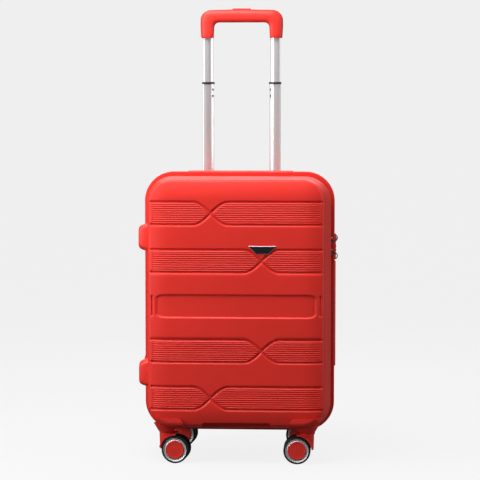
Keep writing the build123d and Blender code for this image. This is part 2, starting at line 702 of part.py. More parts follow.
for name, toward, rim, face, core in (
    ("front", FRONT, FRONT_RIM, FRONT_FACE, dish_front),
    ("rear", BACK, BACK_RIM, BACK_FACE, dish_back),
):
    with BuildPart() as caster_sockets:
        for side in (-1, 1):
            low_x, high_x = sorted((side * GUARD_INNER_X, side * 190.0))
            low_y, high_y = sorted((face + toward * 10.0, face - toward * GUARD_REACH))
            add(brick((low_x, low_y, SOCKET_LOW), (high_x, high_y, GUARD_HIGH)))
        inner_edges = caster_sockets.edges().filter_by(Axis.Y).group_by(Axis.Z)[-1]
        fillet(inner_edges.sort_by(Axis.X)[1:3], radius=14.0)
        add(dish(rim, face, -GUARD_THICKNESS), mode=Mode.INTERSECT)
        with Locations(
            (-SWIVEL_X, toward * SWIVEL_Y, SOCKET_LOW),
            (SWIVEL_X, toward * SWIVEL_Y, SOCKET_LOW),
        ):
            Cone(14.5, 24.0, 16.0, align=(Align.CENTER, Align.CENTER, Align.MIN))
        add(core, mode=Mode.SUBTRACT)
        with Locations(
            (-SWIVEL_X, toward * SWIVEL_Y, SOCKET_LOW),
            (SWIVEL_X, toward * SWIVEL_Y, SOCKET_LOW),
        ):
            Cylinder(11.9, BOSS_HIGH - SOCKET_LOW, align=(Align.CENTER, Align.CENTER, Align.MIN))
            Cylinder(
                KINGPIN_RADIUS + RUNNING,
                23.0,
                align=(Align.CENTER, Align.CENTER, Align.MIN),
                mode=Mode.SUBTRACT,
            )
    finish(caster_sockets, f"{name}_caster_sockets")

# ---------------------------------------------------------------- casters

FENDER_INNER = 27.2
FENDER_OUTER = 30.0
FENDER_HALF_WIDTH = 18.0
STEM_RADIUS = 12.5


def caster(name, swivel_x, swivel_y, yaw):
    """One caster: the fork with its pins, and the twin wheels that turn on the axle."""
    upright = Plane(origin=(swivel_x, swivel_y, 0), x_dir=(1, 0, 0), z_dir=(0, 0, 1))
    upright = upright.rotated((0, 0, yaw))
    trail_way = upright.x_dir
    axle_centre = upright.origin + trail_way * TRAIL + Vector(0, 0, WHEEL_RADIUS)
    axle_plane = Plane(origin=axle_centre, x_dir=trail_way, z_dir=-upright.y_dir)

    with BuildPart() as fork:
        with BuildSketch(upright.offset(WHEEL_RADIUS)):
            Circle(STEM_RADIUS)
        extrude(amount=FORK_TOP - WHEEL_RADIUS, taper=-2)
        with BuildSketch(axle_plane.offset(-FENDER_HALF_WIDTH)) as fender:
            Circle(FENDER_OUTER)
            with Locations((FENDER_OUTER, 0)):
                Rectangle(2 * FENDER_OUTER - 2.0, 4 * FENDER_OUTER, mode=Mode.SUBTRACT)
            with Locations((0, -FENDER_OUTER + 4.0)):
                Rectangle(4 * FENDER_OUTER, 2 * FENDER_OUTER, mode=Mode.SUBTRACT)
        extrude(amount=2 * FENDER_HALF_WIDTH)
        with BuildSketch(axle_plane.offset(-30.0)):
            Circle(FENDER_INNER)
        extrude(amount=60.0, mode=Mode.SUBTRACT)
        with BuildSketch(axle_plane.offset(-WEB_THICKNESS / 2)) as web:
            Circle(9.0)
            with BuildLine():
                Polyline(
                    (8.0, 4.0),
                    (-2.0, 26.5),
                    (-TRAIL + 4.0, 28.0),
                    (-TRAIL - 10.0, 26.0),
                    (-TRAIL - 10.5, 8.0),
                    (-6.0, -6.5),
                    close=True,
                )
            make_face()
        extrude(amount=WEB_THICKNESS)
        with BuildSketch(axle_plane.offset(-20.0)):
            Circle(AXLE_RADIUS)
        extrude(amount=40.0, mode=Mode.SUBTRACT)
        with BuildSketch(upright.offset(44.0)):
            Circle(KINGPIN_RADIUS)
        extrude(amount=20.0, mode=Mode.SUBTRACT)
    finish(fork, f"{name}_fork")

    with BuildPart() as pins:
        with BuildSketch(upright.offset(44.0)):
            Circle(KINGPIN_RADIUS)
        extrude(amount=34.0)
        with BuildSketch(axle_plane.offset(-15.5)):
            Circle(AXLE_RADIUS)
        extrude(amount=31.0)
    finish(pins, f"{name}_pins")

    with BuildPart() as tyres:
        for side in (-1, 1):
            with BuildSketch(axle_plane.offset(side * WHEEL_INNER_FACE)):
                Circle(WHEEL_RADIUS)
                Circle(TYRE_INNER, mode=Mode.SUBTRACT)
            extrude(amount=side * WHEEL_WIDTH)
        outer_edges = tyres.edges().filter_by(GeomType.CIRCLE).sort_by(SortBy.RADIUS)[-4:]
        fillet(outer_edges, radius=2.2)
    finish(tyres, f"{name}_tyres")

    with BuildPart() as rims:
        for side in (-1, 1):
            with BuildSketch(axle_plane.offset(side * WHEEL_INNER_FACE)):
                Circle(TYRE_INNER)
                Circle(AXLE_RADIUS + RUNNING, mode=Mode.SUBTRACT)
            extrude(amount=side * (WHEEL_WIDTH - 0.6))
            with BuildSketch(axle_plane.offset(side * (WHEEL_INNER_FACE + WHEEL_WIDTH - 2.6))):
                Circle(CAP_RADIUS)
            extrude(amount=side * 5.0, mode=Mode.SUBTRACT)
    finish(rims, f"{name}_rims")

    with BuildPart() as caps:
        for side in (-1, 1):
            with BuildSketch(axle_plane.offset(side * (WHEEL_INNER_FACE + WHEEL_WIDTH - 2.6))):
                Circle(CAP_RADIUS)
            extrude(amount=side * 3.0)
        cap_faces = caps.faces().filter_by(GeomType.PLANE).sort_by(
            Axis(axle_plane.origin, axle_plane.z_dir)
        )
        fillet(cap_faces[0].edges() + cap_faces[-1].edges(), radius=1.2)
    finish(caps, f"{name}_caps")


caster("front_left", -SWIVEL_X, -SWIVEL_Y, -5.0)
caster("front_right", SWIVEL_X, -SWIVEL_Y, 180.0)
caster("rear_left", -SWIVEL_X, SWIVEL_Y, -5.0)
caster("rear_right", SWIVEL_X, SWIVEL_Y, 180.0)

# ---------------------------------------------------------------- inside

LINING_GAP = 0.5
LINING_THICKNESS = 1.0
RIM_MARGIN = 3.0

# Blocks that the linings go round: the trolley channel, its tray, the handle mounts and the lock
BACK_BULGES = (
    ((-85.0, TUBE_Y - 13.0, 20.0), (85.0, 130.0, 560.0)),
    ((-92.0, TRAY_LOW_Y - 2.0, TRAY_FLOOR - 3.0), (92.0, 130.0, 560.0)),
    (
        (HANDLE_SURFACE - 27.0, 27.0, SIDE_HANDLE_HEIGHT - 104.0),
        (200.0, 74.0, SIDE_HANDLE_HEIGHT + 104.0),
    ),
    ((-104.0, 27.0, TOP_SURFACE - 27.0), (104.0, 74.0, 560.0)),
    ((LOCK_LOW[0] - 2.0, -30.0, LOCK_LOW[2] - 3.0), (200.0, 36.0, LOCK_HIGH[2] + 3.0)),
)
FRONT_BULGES = (((-70.0, -125.0, 20.0), (70.0, -71.0, 82.0)),)


def caster_bulges(toward):
    """Blocks that the lining goes round over the caster bosses."""
    low_y, high_y = sorted((toward * (SWIVEL_Y - 14.0), toward * 130.0))
    return [
        ((SWIVEL_X - 14.0, low_y, 20.0), (200.0, high_y, BOSS_HIGH + 2.0)),
        ((-200.0, low_y, 20.0), (-SWIVEL_X + 14.0, high_y, BOSS_HIGH + 2.0)),
    ]


for name, toward, rim, face, bulges in (
    ("front", FRONT, FRONT_RIM, FRONT_FACE, FRONT_BULGES),
    ("back", BACK, BACK_RIM, BACK_FACE, BACK_BULGES),
):
    all_bulges = list(bulges) + caster_bulges(toward)
    with BuildPart() as lining_space:
        add(dish(rim, face, WALL + LINING_GAP + LINING_THICKNESS))
        for low, high in all_bulges:
            add(brick(low, high, LINING_THICKNESS), mode=Mode.SUBTRACT)
    with BuildPart() as lining:
        add(dish(rim, face, WALL + LINING_GAP))
        for low, high in all_bulges:
            add(brick(low, high), mode=Mode.SUBTRACT)
        add(lining_space.part, mode=Mode.SUBTRACT)
        rim_low, rim_high = sorted((rim - toward * 10.0, rim + toward * RIM_MARGIN))
        add(brick((-200.0, rim_low, 0.0), (200.0, rim_high, 600.0)), mode=Mode.SUBTRACT)
    finish(lining, f"{name}_lining")

STRAP_WIDTH = 25.0
STRAP_THICKNESS = 1.5
STRAP_Y = 17.0
STRAP_ANCHOR = (169.0, 150.0)
BUCKLE = (64.0, 8.0, 44.0)

with BuildPart() as strap_buckle:
    with Locations((0, STRAP_Y + STRAP_THICKNESS / 2, CASE_MIDDLE)):
        Box(*BUCKLE)
    fillet(strap_buckle.edges().filter_by(Axis.Y), radius=8.0)
    fillet(strap_buckle.faces().sort_by(Axis.Y)[0].edges(), radius=1.5)
finish(strap_buckle, "strap_buckle")

with BuildPart() as cross_straps:
    strap_plane = Plane(origin=(0, STRAP_Y, CASE_MIDDLE), x_dir=(1, 0, 0), z_dir=(0, 1, 0))
    anchor_x, anchor_z = STRAP_ANCHOR
    with BuildSketch(strap_plane):
        for side in (-1, 1):
            for up in (-1, 1):
                Polygon(
                    (0, up * STRAP_WIDTH / 2),
                    (side * anchor_x, up * (anchor_z + STRAP_WIDTH / 2)),
                    (side * anchor_x, up * (anchor_z - STRAP_WIDTH / 2)),
                    (0, -up * STRAP_WIDTH / 2),
                    align=None,
                )
        RectangleRounded(BUCKLE[0], BUCKLE[2], 8.0, mode=Mode.SUBTRACT)
    extrude(amount=STRAP_THICKNESS)
finish(cross_straps, "cross_straps")

POCKET_TOP = 330.0

with BuildPart() as mesh_pocket:
    with BuildSketch(case_plane(FRONT_RIM - 5.0, FRONT)):
        RectangleRounded(2 * 170.3, 2 * 235.8, 45.0)
    extrude(amount=1.2)
    add(brick((-200.0, -40.0, POCKET_TOP), (200.0, 0.0, 600.0)), mode=Mode.SUBTRACT)
finish(mesh_pocket, "mesh_pocket")
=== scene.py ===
"""Looks of a hard shell cabin suitcase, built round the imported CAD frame.

Metres, in the CAD's frame: X across the case, -Y its front, +Z up, the floor at 0.
"""

import json
from math import asin, cos, degrees, hypot, pi, radians, sin, sqrt

import bmesh
import bpy
import numpy as np
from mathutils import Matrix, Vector


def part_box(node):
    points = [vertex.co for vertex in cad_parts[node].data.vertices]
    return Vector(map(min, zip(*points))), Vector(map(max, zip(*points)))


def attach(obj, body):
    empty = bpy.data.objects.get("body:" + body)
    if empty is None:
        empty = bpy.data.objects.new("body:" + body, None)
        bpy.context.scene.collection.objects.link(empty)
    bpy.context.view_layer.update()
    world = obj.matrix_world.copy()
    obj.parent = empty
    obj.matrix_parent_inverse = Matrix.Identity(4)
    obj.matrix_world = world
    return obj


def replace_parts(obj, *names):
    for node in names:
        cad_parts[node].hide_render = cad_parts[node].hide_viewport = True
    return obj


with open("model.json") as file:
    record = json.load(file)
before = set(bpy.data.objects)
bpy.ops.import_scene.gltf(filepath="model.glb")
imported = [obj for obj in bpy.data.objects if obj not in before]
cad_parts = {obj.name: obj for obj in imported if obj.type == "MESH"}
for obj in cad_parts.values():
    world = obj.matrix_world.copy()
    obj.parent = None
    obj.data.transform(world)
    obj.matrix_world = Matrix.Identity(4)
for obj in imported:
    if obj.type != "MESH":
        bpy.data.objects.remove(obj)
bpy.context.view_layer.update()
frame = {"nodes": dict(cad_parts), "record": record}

MM = 0.001

# ---------------------------------------------------------------- materials


class Shader:
    """A node material that is put together one node at a time."""

    def __init__(self, name, colour, roughness, metallic=0.0):
        self.material = bpy.data.materials.new(name)
        self.material.use_nodes = True
        self.tree = self.material.node_tree
        self.surface = self.tree.nodes["Principled BSDF"]
        self.surface.inputs["Base Color"].default_value = (*colour, 1)
        self.surface.inputs["Roughness"].default_value = roughness
        self.surface.inputs["Metallic"].default_value = metallic
        self.material.diffuse_color = (*colour, 1)
        self.place = self.node("ShaderNodeTexCoord").outputs["Object"]

    def node(self, kind, settings=(), **inputs):
        made = self.tree.nodes.new(kind)
        for key, value in dict(settings).items():
            setattr(made, key, value)
        for key, value in inputs.items():
            socket = made.inputs[int(key[1:])] if key[1:].isdigit() else made.inputs[key.replace("_", " ")]
            if isinstance(value, bpy.types.NodeSocket):
                self.tree.links.new(value, socket)
            else:
                socket.default_value = value
        return made

    def stretched(self, scale):
        return self.node("ShaderNodeMapping", Vector=self.place, Scale=scale).outputs["Vector"]

    def noise(self, scale, detail=2.0, place=None, roughness=0.5):
        made = self.node(
            "ShaderNodeTexNoise",
            Vector=self.place if place is None else place,
            Scale=scale,
            Detail=detail,
            Roughness=roughness,
        )
        return made.outputs["Fac"]

    def spread(self, value, low, high, start=0.3, end=0.7):
        """Value remapped from start..end to low..high."""
        made = self.node(
            "ShaderNodeMapRange",
            Value=value,
            From_Min=start,
            From_Max=end,
            To_Min=low,
            To_Max=high,
        )
        return made.outputs["Result"]

    def math(self, operation, first, second):
        return self.node("ShaderNodeMath", {"operation": operation}, _0=first, _1=second).outputs[0]

    def blend(self, factor, first, second):
        made = self.node("ShaderNodeMix", {"data_type": "RGBA"})
        self.tree.links.new(factor, made.inputs[0])
        made.inputs[6].default_value = (*first, 1)
        made.inputs[7].default_value = (*second, 1)
        return made.outputs[2]

    def put(self, socket, value):
        self.tree.links.new(value, self.surface.inputs[socket])

    def bump(self, height, distance, strength=1.0):
        made = self.node("ShaderNodeBump", Height=height, Strength=strength, Distance=distance)
        self.put("Normal", made.outputs["Normal"])


def tint(colour, factor):
    return tuple(min(1.0, c * factor) for c in colour)


def moulded_plastic(name, colour, roughness, grain=900.0, depth=0.00006, gloss=0.5):
    """Satin moulded plastic: fine spark grain, faint flow marks and handling scuffs."""
    s = Shader(name, colour, roughness)
    flow = s.noise(7.0, 3.0)
    s.put("Base Color", s.blend(s.spread(flow, 0, 1), tint(colour, 0.95), tint(colour, 1.05)))
    scuffs = s.noise(1.0, 4.0, s.stretched((60, 45, 260)), 0.65)
    s.put("Roughness", s.spread(scuffs, roughness - 0.05, roughness + 0.07))
    s.bump(s.noise(grain, 2.0), depth, 0.5)
    s.surface.inputs["Specular IOR Level"].default_value = gloss
    return s.material


def brushed_metal(name, colour, roughness, along=(900, 900, 8), metallic=1.0):
    s = Shader(name, colour, roughness, metallic)
    lines = s.noise(1.0, 3.0, s.stretched(along), 0.7)
    s.put("Base Color", s.blend(s.spread(lines, 0, 1), tint(colour, 0.9), tint(colour, 1.05)))
    s.put("Roughness", s.spread(lines, roughness - 0.06, roughness + 0.08))
    s.bump(lines, 0.00002, 0.35)
    return s.material


def woven(name, colour, pitch, depth, sheen=0.3, roughness=0.85, slant=0.0):
    """Cloth of two crossing sets of threads, pitch metres apart."""
    s = Shader(name, colour, roughness)
    turn = s.node("ShaderNodeMapping", Vector=s.place, Rotation=(0, slant, 0)).outputs["Vector"]
    axes = s.node("ShaderNodeSeparateXYZ", Vector=turn)
    rate = 2 * pi / pitch
    waves = []
    for axis in range(3):
        angle = s.math("MULTIPLY", axes.outputs[axis], rate)
        waves.append(s.math("SINE", angle, 0.0))
    crossed = s.math("MULTIPLY", waves[0], waves[2])
    threads = s.math("ADD", crossed, s.math("MULTIPLY", waves[1], waves[2]))
    fuzz = s.noise(2600.0, 2.0)
    height = s.math("ADD", threads, s.math("MULTIPLY", fuzz, 0.8))
    patches = s.noise(22.0, 3.0)
    # Colour mixes painted shade, darker where the threads dip between each other, with random patches of
    # tone.
    thread_shade_and_patches = s.math("ADD", s.math("MULTIPLY", height, 0.25), patches)
    s.put("Base Color", s.blend(s.spread(thread_shade_and_patches, 0, 1, 0.2, 0.9), tint(colour, 0.72), tint(colour, 1.25)))
    s.bump(height, depth, 0.8)
    s.surface.inputs["Sheen Weight"].default_value = sheen
    s.surface.inputs["Sheen Roughness"].default_value = 0.5
    return s.material


def rubber(name, colour):
    s = Shader(name, colour, 0.62)
    dust = s.noise(35.0, 4.0, None, 0.6)
    s.put("Base Color", s.blend(s.spread(dust, 0, 1), colour, tint(colour, 2.1)))
    s.put("Roughness", s.spread(dust, 0.55, 0.78))
    s.bump(s.noise(1500.0, 2.0), 0.00008, 0.5)
    s.surface.inputs["Specular IOR Level"].default_value = 0.3
    return s.material


RED = (0.80, 0.034, 0.024)
TRIM_RED = (0.76, 0.036, 0.026)

looks = {
    "red_shell": moulded_plastic("red_shell", RED, 0.42, gloss=0.26),
    "red_trim": moulded_plastic("red_trim", TRIM_RED, 0.40, 1300.0, 0.00004, 0.28),
    "badge_black": moulded_plastic("badge_black", (0.012, 0.012, 0.014), 0.16, 500.0, 0.00001, 0.6),
    "zip_tape": woven("zip_tape", (0.52, 0.028, 0.024), 0.0009, 0.0002),
    "zip_teeth": moulded_plastic("zip_teeth", (0.40, 0.020, 0.020), 0.34, 2200.0, 0.00002),
    "gunmetal": brushed_metal("gunmetal", (0.24, 0.235, 0.24), 0.28, (500, 500, 500)),
    "dial_black": moulded_plastic("dial_black", (0.02, 0.02, 0.022), 0.32, 1500.0, 0.00003),
    "inner_plastic": moulded_plastic("inner_plastic", (0.045, 0.045, 0.048), 0.5),
    "steel": brushed_metal("steel", (0.58, 0.58, 0.60), 0.3, (400, 400, 400)),
    "tube_aluminium": brushed_metal("tube_aluminium", (0.86, 0.86, 0.87), 0.36, (2600, 2600, 5), 0.76),
    "collar_black": moulded_plastic("collar_black", (0.016, 0.016, 0.017), 0.42),
    "lining_fabric": woven("lining_fabric", (0.10, 0.10, 0.11), 0.0012, 0.0002, 0.4, 0.8, 0.6),
    "strap_webbing": woven("strap_webbing", (0.035, 0.035, 0.04), 0.0016, 0.0004, 0.25),
    "pocket_mesh": woven("pocket_mesh", (0.06, 0.06, 0.07), 0.002, 0.0005, 0.3),
    "tyre_black": rubber("tyre_black", (0.006, 0.006, 0.0065)),
    "rim_silver": brushed_metal("rim_silver", (0.70, 0.70, 0.72), 0.42, (900, 900, 900), 0.6),
}

slot_of = {}
for entry in frame["record"]["materials"]:
    for member in entry.get("nodes", []):
        slot_of[member] = entry["slot"]
for name, node in frame["nodes"].items():
    for index, place in enumerate(node.material_slots):
        slot = slot_of.get(name) or (place.material.name.split(".")[0] if place.material else None)
        node.material_slots[index].material = looks[slot]

# ---------------------------------------------------------------- helpers for new pieces


def piece(name, points, faces, slot, body, smooth=35.0):
    """A mesh piece with one material, which rides on a body."""
    mesh = bpy.data.meshes.new(name)
    mesh.from_pydata([tuple(p) for p in points], [], [tuple(f) for f in faces])
    mesh.update()
    made = bpy.data.objects.new(name, mesh)
    bpy.context.scene.collection.objects.link(made)
    mesh.materials.append(looks[slot])
    for polygon in mesh.polygons:
        polygon.use_smooth = True
    mesh.set_sharp_from_angle(angle=radians(smooth))
    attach(made, body)
    return made


# ---------------------------------------------------------------- front shell

CASE_MIDDLE = 294.0
FRONT_RIM = -14.0
FRONT_FACE = -113.0
FLANGE = 5.5
WALL = 2.5
PATTERN_MIDDLE = 297.0
GROOVE_OFFSETS = (20.5, 63.0, 104.8, 151.5, 193.5)


def smoothstep(t):
    t = np.clip(t, 0.0, 1.0)
    return t * t * (3 - 2 * t)


def mix(a, b, t):
    return a + (b - a) * t


class Outline:
    """Rounded rectangle across the case: half width, half height, corner radius and middle height."""

    def __init__(self, half_width, half_height, corner, middle):
        self.values = np.array((half_width, half_height, corner, middle), float)

    @property
    def straight(self):
        return self.values[0] - self.values[2], self.values[1] - self.values[2]

    def inset(self, by):
        half_width, half_height, corner, middle = self.values
        return Outline(half_width - by, half_height - by, max(corner - by, 4.0), middle)

    def toward(self, other, t):
        return Outline(*mix(self.values, other.values, t))

    def width_at(self, z):
        half_width, _, corner, middle = self.values
        up = min(max(abs(z - middle) - self.straight[1], 0.0), corner)
        return half_width - corner + sqrt(corner**2 - up**2)

    def key(self, x, z):
        """Place of an edge point that can be found again on another outline."""
        sx, sz = self.straight
        middle = self.values[3]
        across = float(np.clip(x, -sx, sx))
        up = float(np.clip(z - middle, -sz, sz))
        wx, wz = x - across, z - middle - up
        length = hypot(wx, wz) or 1.0
        return across / sx, up / sz, wx / length, wz / length

    def at(self, key):
        sx, sz = self.straight
        across, up, wx, wz = key
        corner, middle = self.values[2:]
        return across * sx + wx * corner, middle + up * sz + wz * corner


def levels(outline, step_at, turn=4.5):
    """Heights of a grid's rows, from the bottom to the top, close together where step_at says so."""
    _, half_height, corner, middle = outline.values
    straight = half_height - corner
    halves = []
    for way in (1, -1):
        rows = [0.0]
        while rows[-1] < half_height:
            here = rows[-1] + step_at(middle + way * rows[-1])
            if here > straight:
                if rows[-1] < straight:
                    here = straight
                else:
                    angle = degrees(asin(min((rows[-1] - straight) / corner, 1.0)))
                    bound = straight + corner * sin(radians(min(angle + turn, 90.0)))
                    here = min(here, bound) if angle + turn < 90.0 else half_height
            rows.append(min(here, half_height))
        halves.append(rows)
    below = [middle - h for h in reversed(halves[1][1:])]
    return below + [middle + h for h in halves[0]]


def grid_points(outline, rows, columns):
    grid = []
    for z in rows:
        half = outline.width_at(z)
        grid.append([(u * half, z) for u in columns])
    grid = np.array(grid)
    return grid[..., 0], grid[..., 1]


def grid_faces(height, width, flip=False):
    faces = []
    for i in range(height - 1):
        for j in range(width - 1):
            a = i * width + j
            face = (a, a + 1, a + width + 1, a + width)
            faces.append(face[::-1] if flip else face)
    return faces


def border(height, width):
    """Indices round a grid's edge: bottom row, right side, top row, left side."""
    loop = list(range(0, width))
    loop += [i * width + width - 1 for i in range(1, height)]
    loop += [(height - 1) * width + j for j in range(width - 2, -1, -1)]
    loop += [i * width for i in range(height - 2, 0, -1)]
    return loop


def join_rings(faces, last, ring, flip=False):
    for k in range(len(ring)):
        n = (k + 1) % len(ring)
        face = (last[n], last[k], ring[k], ring[n])
        faces.append(face[::-1] if flip else face)


EDGE_INSET = 4.5
CROWN_REACH = 38.0
CROWN_SIDE = 5.0
CROWN_TOP = 7.0
CROWN_BOTTOM = 4.5
RIB_PITCH = 4.0
RIB_DEPTH = 1.0
GROOVE_HALF = 3.5
GROOVE_DEPTH = 2.7
STRAND_REACH = 33.0
RIB_START = 156.5
GROOVE_END = 157.0
PANEL_END = 147.0
PANEL_BLEND = 14.0
PANEL_STRAIGHT = 13.5
PANEL_ROUND = 9.4
PANEL_DEPTH = 2.2
PANEL_GROOVE_OFFSET = 25.0
SLOT_X = 156.5
SLOT_STRAIGHT = 17.5

face_outline = Outline(163.5, 230.75, 42.5, 302.25)
rim_outline = Outline(175.5, 241.0, 50.0, 294.0)
groove_heights = sorted(PATTERN_MIDDLE + way * o for o in GROOVE_OFFSETS for way in (-1, 1))
bands = ((448.5, 490.5, -47.0), (360.0, 401.8, 47.5), (192.2, 234.0, 47.5), (103.5, 145.5, -47.0))


def front_outline(y):
    """Outline of the front half's outside at a depth."""
    return face_outline.toward(rim_outline, (y - FRONT_FACE) / (FRONT_RIM - FRONT_FACE))


def groove(distance, half=GROOVE_HALF, deep=GROOVE_DEPTH):
    t = np.clip(np.abs(distance) / half, 0, 1)
    return deep * (0.5 + 0.5 * np.cos(pi * t)) ** 0.85


def relief(x, z):
    """Depth of the moulded pattern, in millimetres, at a point of the front."""
    deep = np.zeros_like(x)
    past_end = np.maximum(np.abs(x) - GROOVE_END, 0)
    for height in groove_heights:
        if abs(height - PATTERN_MIDDLE) < PANEL_GROOVE_OFFSET:
            continue
        line = groove(np.hypot(z - height, past_end * 1.2))
        for low, high, crossing in bands:
            if abs(height - low) < 1 or abs(height - high) < 1:
                line = np.where(np.abs(x - crossing) < STRAND_REACH, 0, line)
        dimple = groove(np.hypot(np.abs(x) - GROOVE_END, z - height), 3.4, 2.6)
        deep = np.maximum(deep, np.maximum(line, dimple))
    for low, high, crossing in bands:
        middle, half = (low + high) / 2, (high - low) / 2
        t = np.clip((x - crossing) / STRAND_REACH, -1, 1)
        swing = 1.42 * t - 0.42 * t * np.abs(t) ** 2.38
        swing = np.where(np.abs(t) < 1, np.sin(t * pi / 2) * 0.8 + swing * 0.2, np.sign(t))
        slope = np.where(np.abs(t) < 1, half / STRAND_REACH * (pi / 2) * np.cos(t * pi / 2), 0)
        lean = np.sqrt(1 + slope**2)
        near = np.abs(x - crossing) < STRAND_REACH
        for sign in (1, -1):
            strand = groove((z - middle - sign * half * swing) / lean)
            deep = np.maximum(deep, np.where(near, strand, 0))
        inside = half * np.abs(swing) - np.abs(z - middle)
        mask = smoothstep((inside - 2.4) / 1.4) * smoothstep((RIB_START - np.abs(x)) / 2.5)
        wave = np.cos(pi * (z - middle) / RIB_PITCH) ** 2
        deep = np.maximum(deep, mask * RIB_DEPTH * wave**1.5)
    up = np.abs(z - PATTERN_MIDDLE)
    along = np.maximum(np.abs(x) - PANEL_END + PANEL_BLEND, 0) * 0.5
    round_end = np.hypot(np.maximum(up - PANEL_STRAIGHT, 0), along)
    deep = np.maximum(deep, PANEL_DEPTH * smoothstep((PANEL_ROUND - round_end) / 3.4))
    slot_end = np.maximum(up - SLOT_STRAIGHT, 0)
    return np.maximum(deep, groove(np.hypot(np.abs(x) - SLOT_X, slot_end), 3.0, 2.6))


def crown(x, z):
    half_width, half_height, _, middle = face_outline.values
    side = half_width - np.abs(x)
    top = middle + half_height - z
    bottom = z - middle + half_height
    total = np.zeros_like(x)
    for distance, drop in ((side, CROWN_SIDE), (top, CROWN_TOP), (bottom, CROWN_BOTTOM)):
        total += drop * np.clip((CROWN_REACH - distance) / (CROWN_REACH - EDGE_INSET), 0, 1) ** 2
    return total


def front_step(z):
    if any(low - 4.0 <= z <= high + 4.0 for low, high, _ in bands):
        return 0.7
    if any(abs(z - h) < 4.2 for h in groove_heights):
        return 0.7
    if 276.0 < z < 318.0:
        return 1.0 if min(abs(z - 280.0), abs(z - 314.0)) < 3.0 else 2.6
    return 3.2


def front_columns(half):
    marks = [0.0]
    while marks[-1] < half:
        x = marks[-1]
        step = 1.5 if 13 < x < 82 else (1.0 if x > 139 else 3.5)
        marks.append(min(x + step, half))
    if marks[-1] - marks[-2] < 0.4:
        del marks[-2]
    return [-m / half for m in reversed(marks[1:])] + [m / half for m in marks]


def front_shell():
    base = face_outline.inset(EDGE_INSET)
    rows = levels(base, front_step)
    columns = front_columns(base.values[0])
    x, z = grid_points(base, rows, columns)
    y = FRONT_FACE + crown(x, z) + relief(x, z)
    points = np.stack([x, y, z], -1).reshape(-1, 3).tolist()
    faces = grid_faces(*x.shape)
    last = border(*x.shape)
    starts = [points[index] for index in last]
    keys = [base.key(px, pz) for px, _, pz in starts]
    depths = crown(np.array([p[0] for p in starts]), np.array([p[2] for p in starts])) + FRONT_FACE
    meets = []
    for key, depth in zip(keys, depths):
        corner_y = depth + 1.9
        wall_y = corner_y + mix(8.5, 16.0, max(key[3], 0.0) if key[1] > 0.99 else 0.0)
        cx, cz = front_outline(corner_y).at(key)
        bx, bz = front_outline(wall_y).at(key)
        meets.append(((cx, corner_y, cz), (bx, wall_y, bz)))
    for k in range(1, 10):
        t = k / 9
        ring = []
        for start, (bend, end) in zip(starts, meets):
            point = [(1 - t) ** 2 * a + 2 * t * (1 - t) * b + t**2 * c for a, b, c in zip(start, bend, end)]
            ring.append(len(points))
            points.append(point)
        join_rings(faces, last, ring)
        last = ring
    for k, depth in enumerate((-92.0, -84.0, -76.0, -75.0, -66.0, -52.0, -38.0, -26.0, -17.0, -14.8)):
        ring = []
        for key in keys:
            px, pz = front_outline(depth).at(key)
            ring.append(len(points))
            points.append([px, depth, pz])
        join_rings(faces, last, ring)
        last = ring
    inside = len(points)
    rim_steps = (
        (0.3, -14.1),
        (0.8, -14.0),
        (FLANGE - 0.5, -14.0),
        (FLANGE, -14.5),
        (FLANGE, -16.0),
        (WALL + 0.4, -16.5),
        (WALL, -18.0),
        (WALL, -60.0),
        (WALL + 1.0, -95.0),
        (WALL + 5.0, -102.0),
        (WALL + 14.0, -103.0),
    )
    for inset, depth in rim_steps:
        outline = front_outline(depth).inset(inset)
        ring = []
        for key in keys:
            px, pz = outline.at(key)
            ring.append(len(points))
            points.append([px, depth, pz])
        join_rings(faces, last, ring)
        last = ring
    faces.append(tuple(last[::-1]))
    for index, point in enumerate(points):
        x, y, z = point
        if y < -75.5 and z < 95.0:
            scoop_top = 78.0 - 16.0 * float(smoothstep((abs(x) - 60.0) / 10.0))
            if index >= inside:
                scoop_top += 2.5
            point[2] = max(z, scoop_top)
    made = piece("front_shell_moulding", np.array(points) * MM, faces, "red_shell", "lid", 40.0)
    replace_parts(made, "front_shell")
    return made


front_shell()

# ---------------------------------------------------------------- turned and swept pieces


def turned(name, profile, slot, body, centre, axis, segments=64, smooth=35.0):
    """Closed ring turned about an axis from (radius, along) pairs, in millimetres."""
    way = Vector(axis).normalized()
    first = way.orthogonal().normalized()
    second = way.cross(first)
    points, faces = [], []
    count = len(profile)
    for k in range(segments):
        angle = 2 * pi * k / segments
        radial = first * cos(angle) + second * sin(angle)
        for radius, along in profile:
            points.append((Vector(centre) + radial * radius + way * along) * MM)
    for k in range(segments):
        n = (k + 1) % segments
        for i in range(count):
            j = (i + 1) % count
            faces.append((k * count + i, n * count + i, n * count + j, k * count + j))
    return piece(name, points, faces, slot, body, smooth)


def lofted(name, layers, slot, body, smooth=35.0):
    """Closed skin over rings of equal size, with flat ends."""
    size = len(layers[0])
    points = [p for ring in layers for p in ring]
    faces = [tuple(range(size)), tuple(range(len(points) - size, len(points)))[::-1]]
    for k in range(len(layers) - 1):
        for i in range(size):
            j = (i + 1) % size
            faces.append((k * size + j, k * size + i, (k + 1) * size + i, (k + 1) * size + j))
    made = piece(name, np.array(points, float) * MM, faces, slot, body, smooth)
    work = bmesh.new()
    work.from_mesh(made.data)
    bmesh.ops.recalc_face_normals(work, faces=work.faces[:])
    work.to_mesh(made.data)
    work.free()
    return made


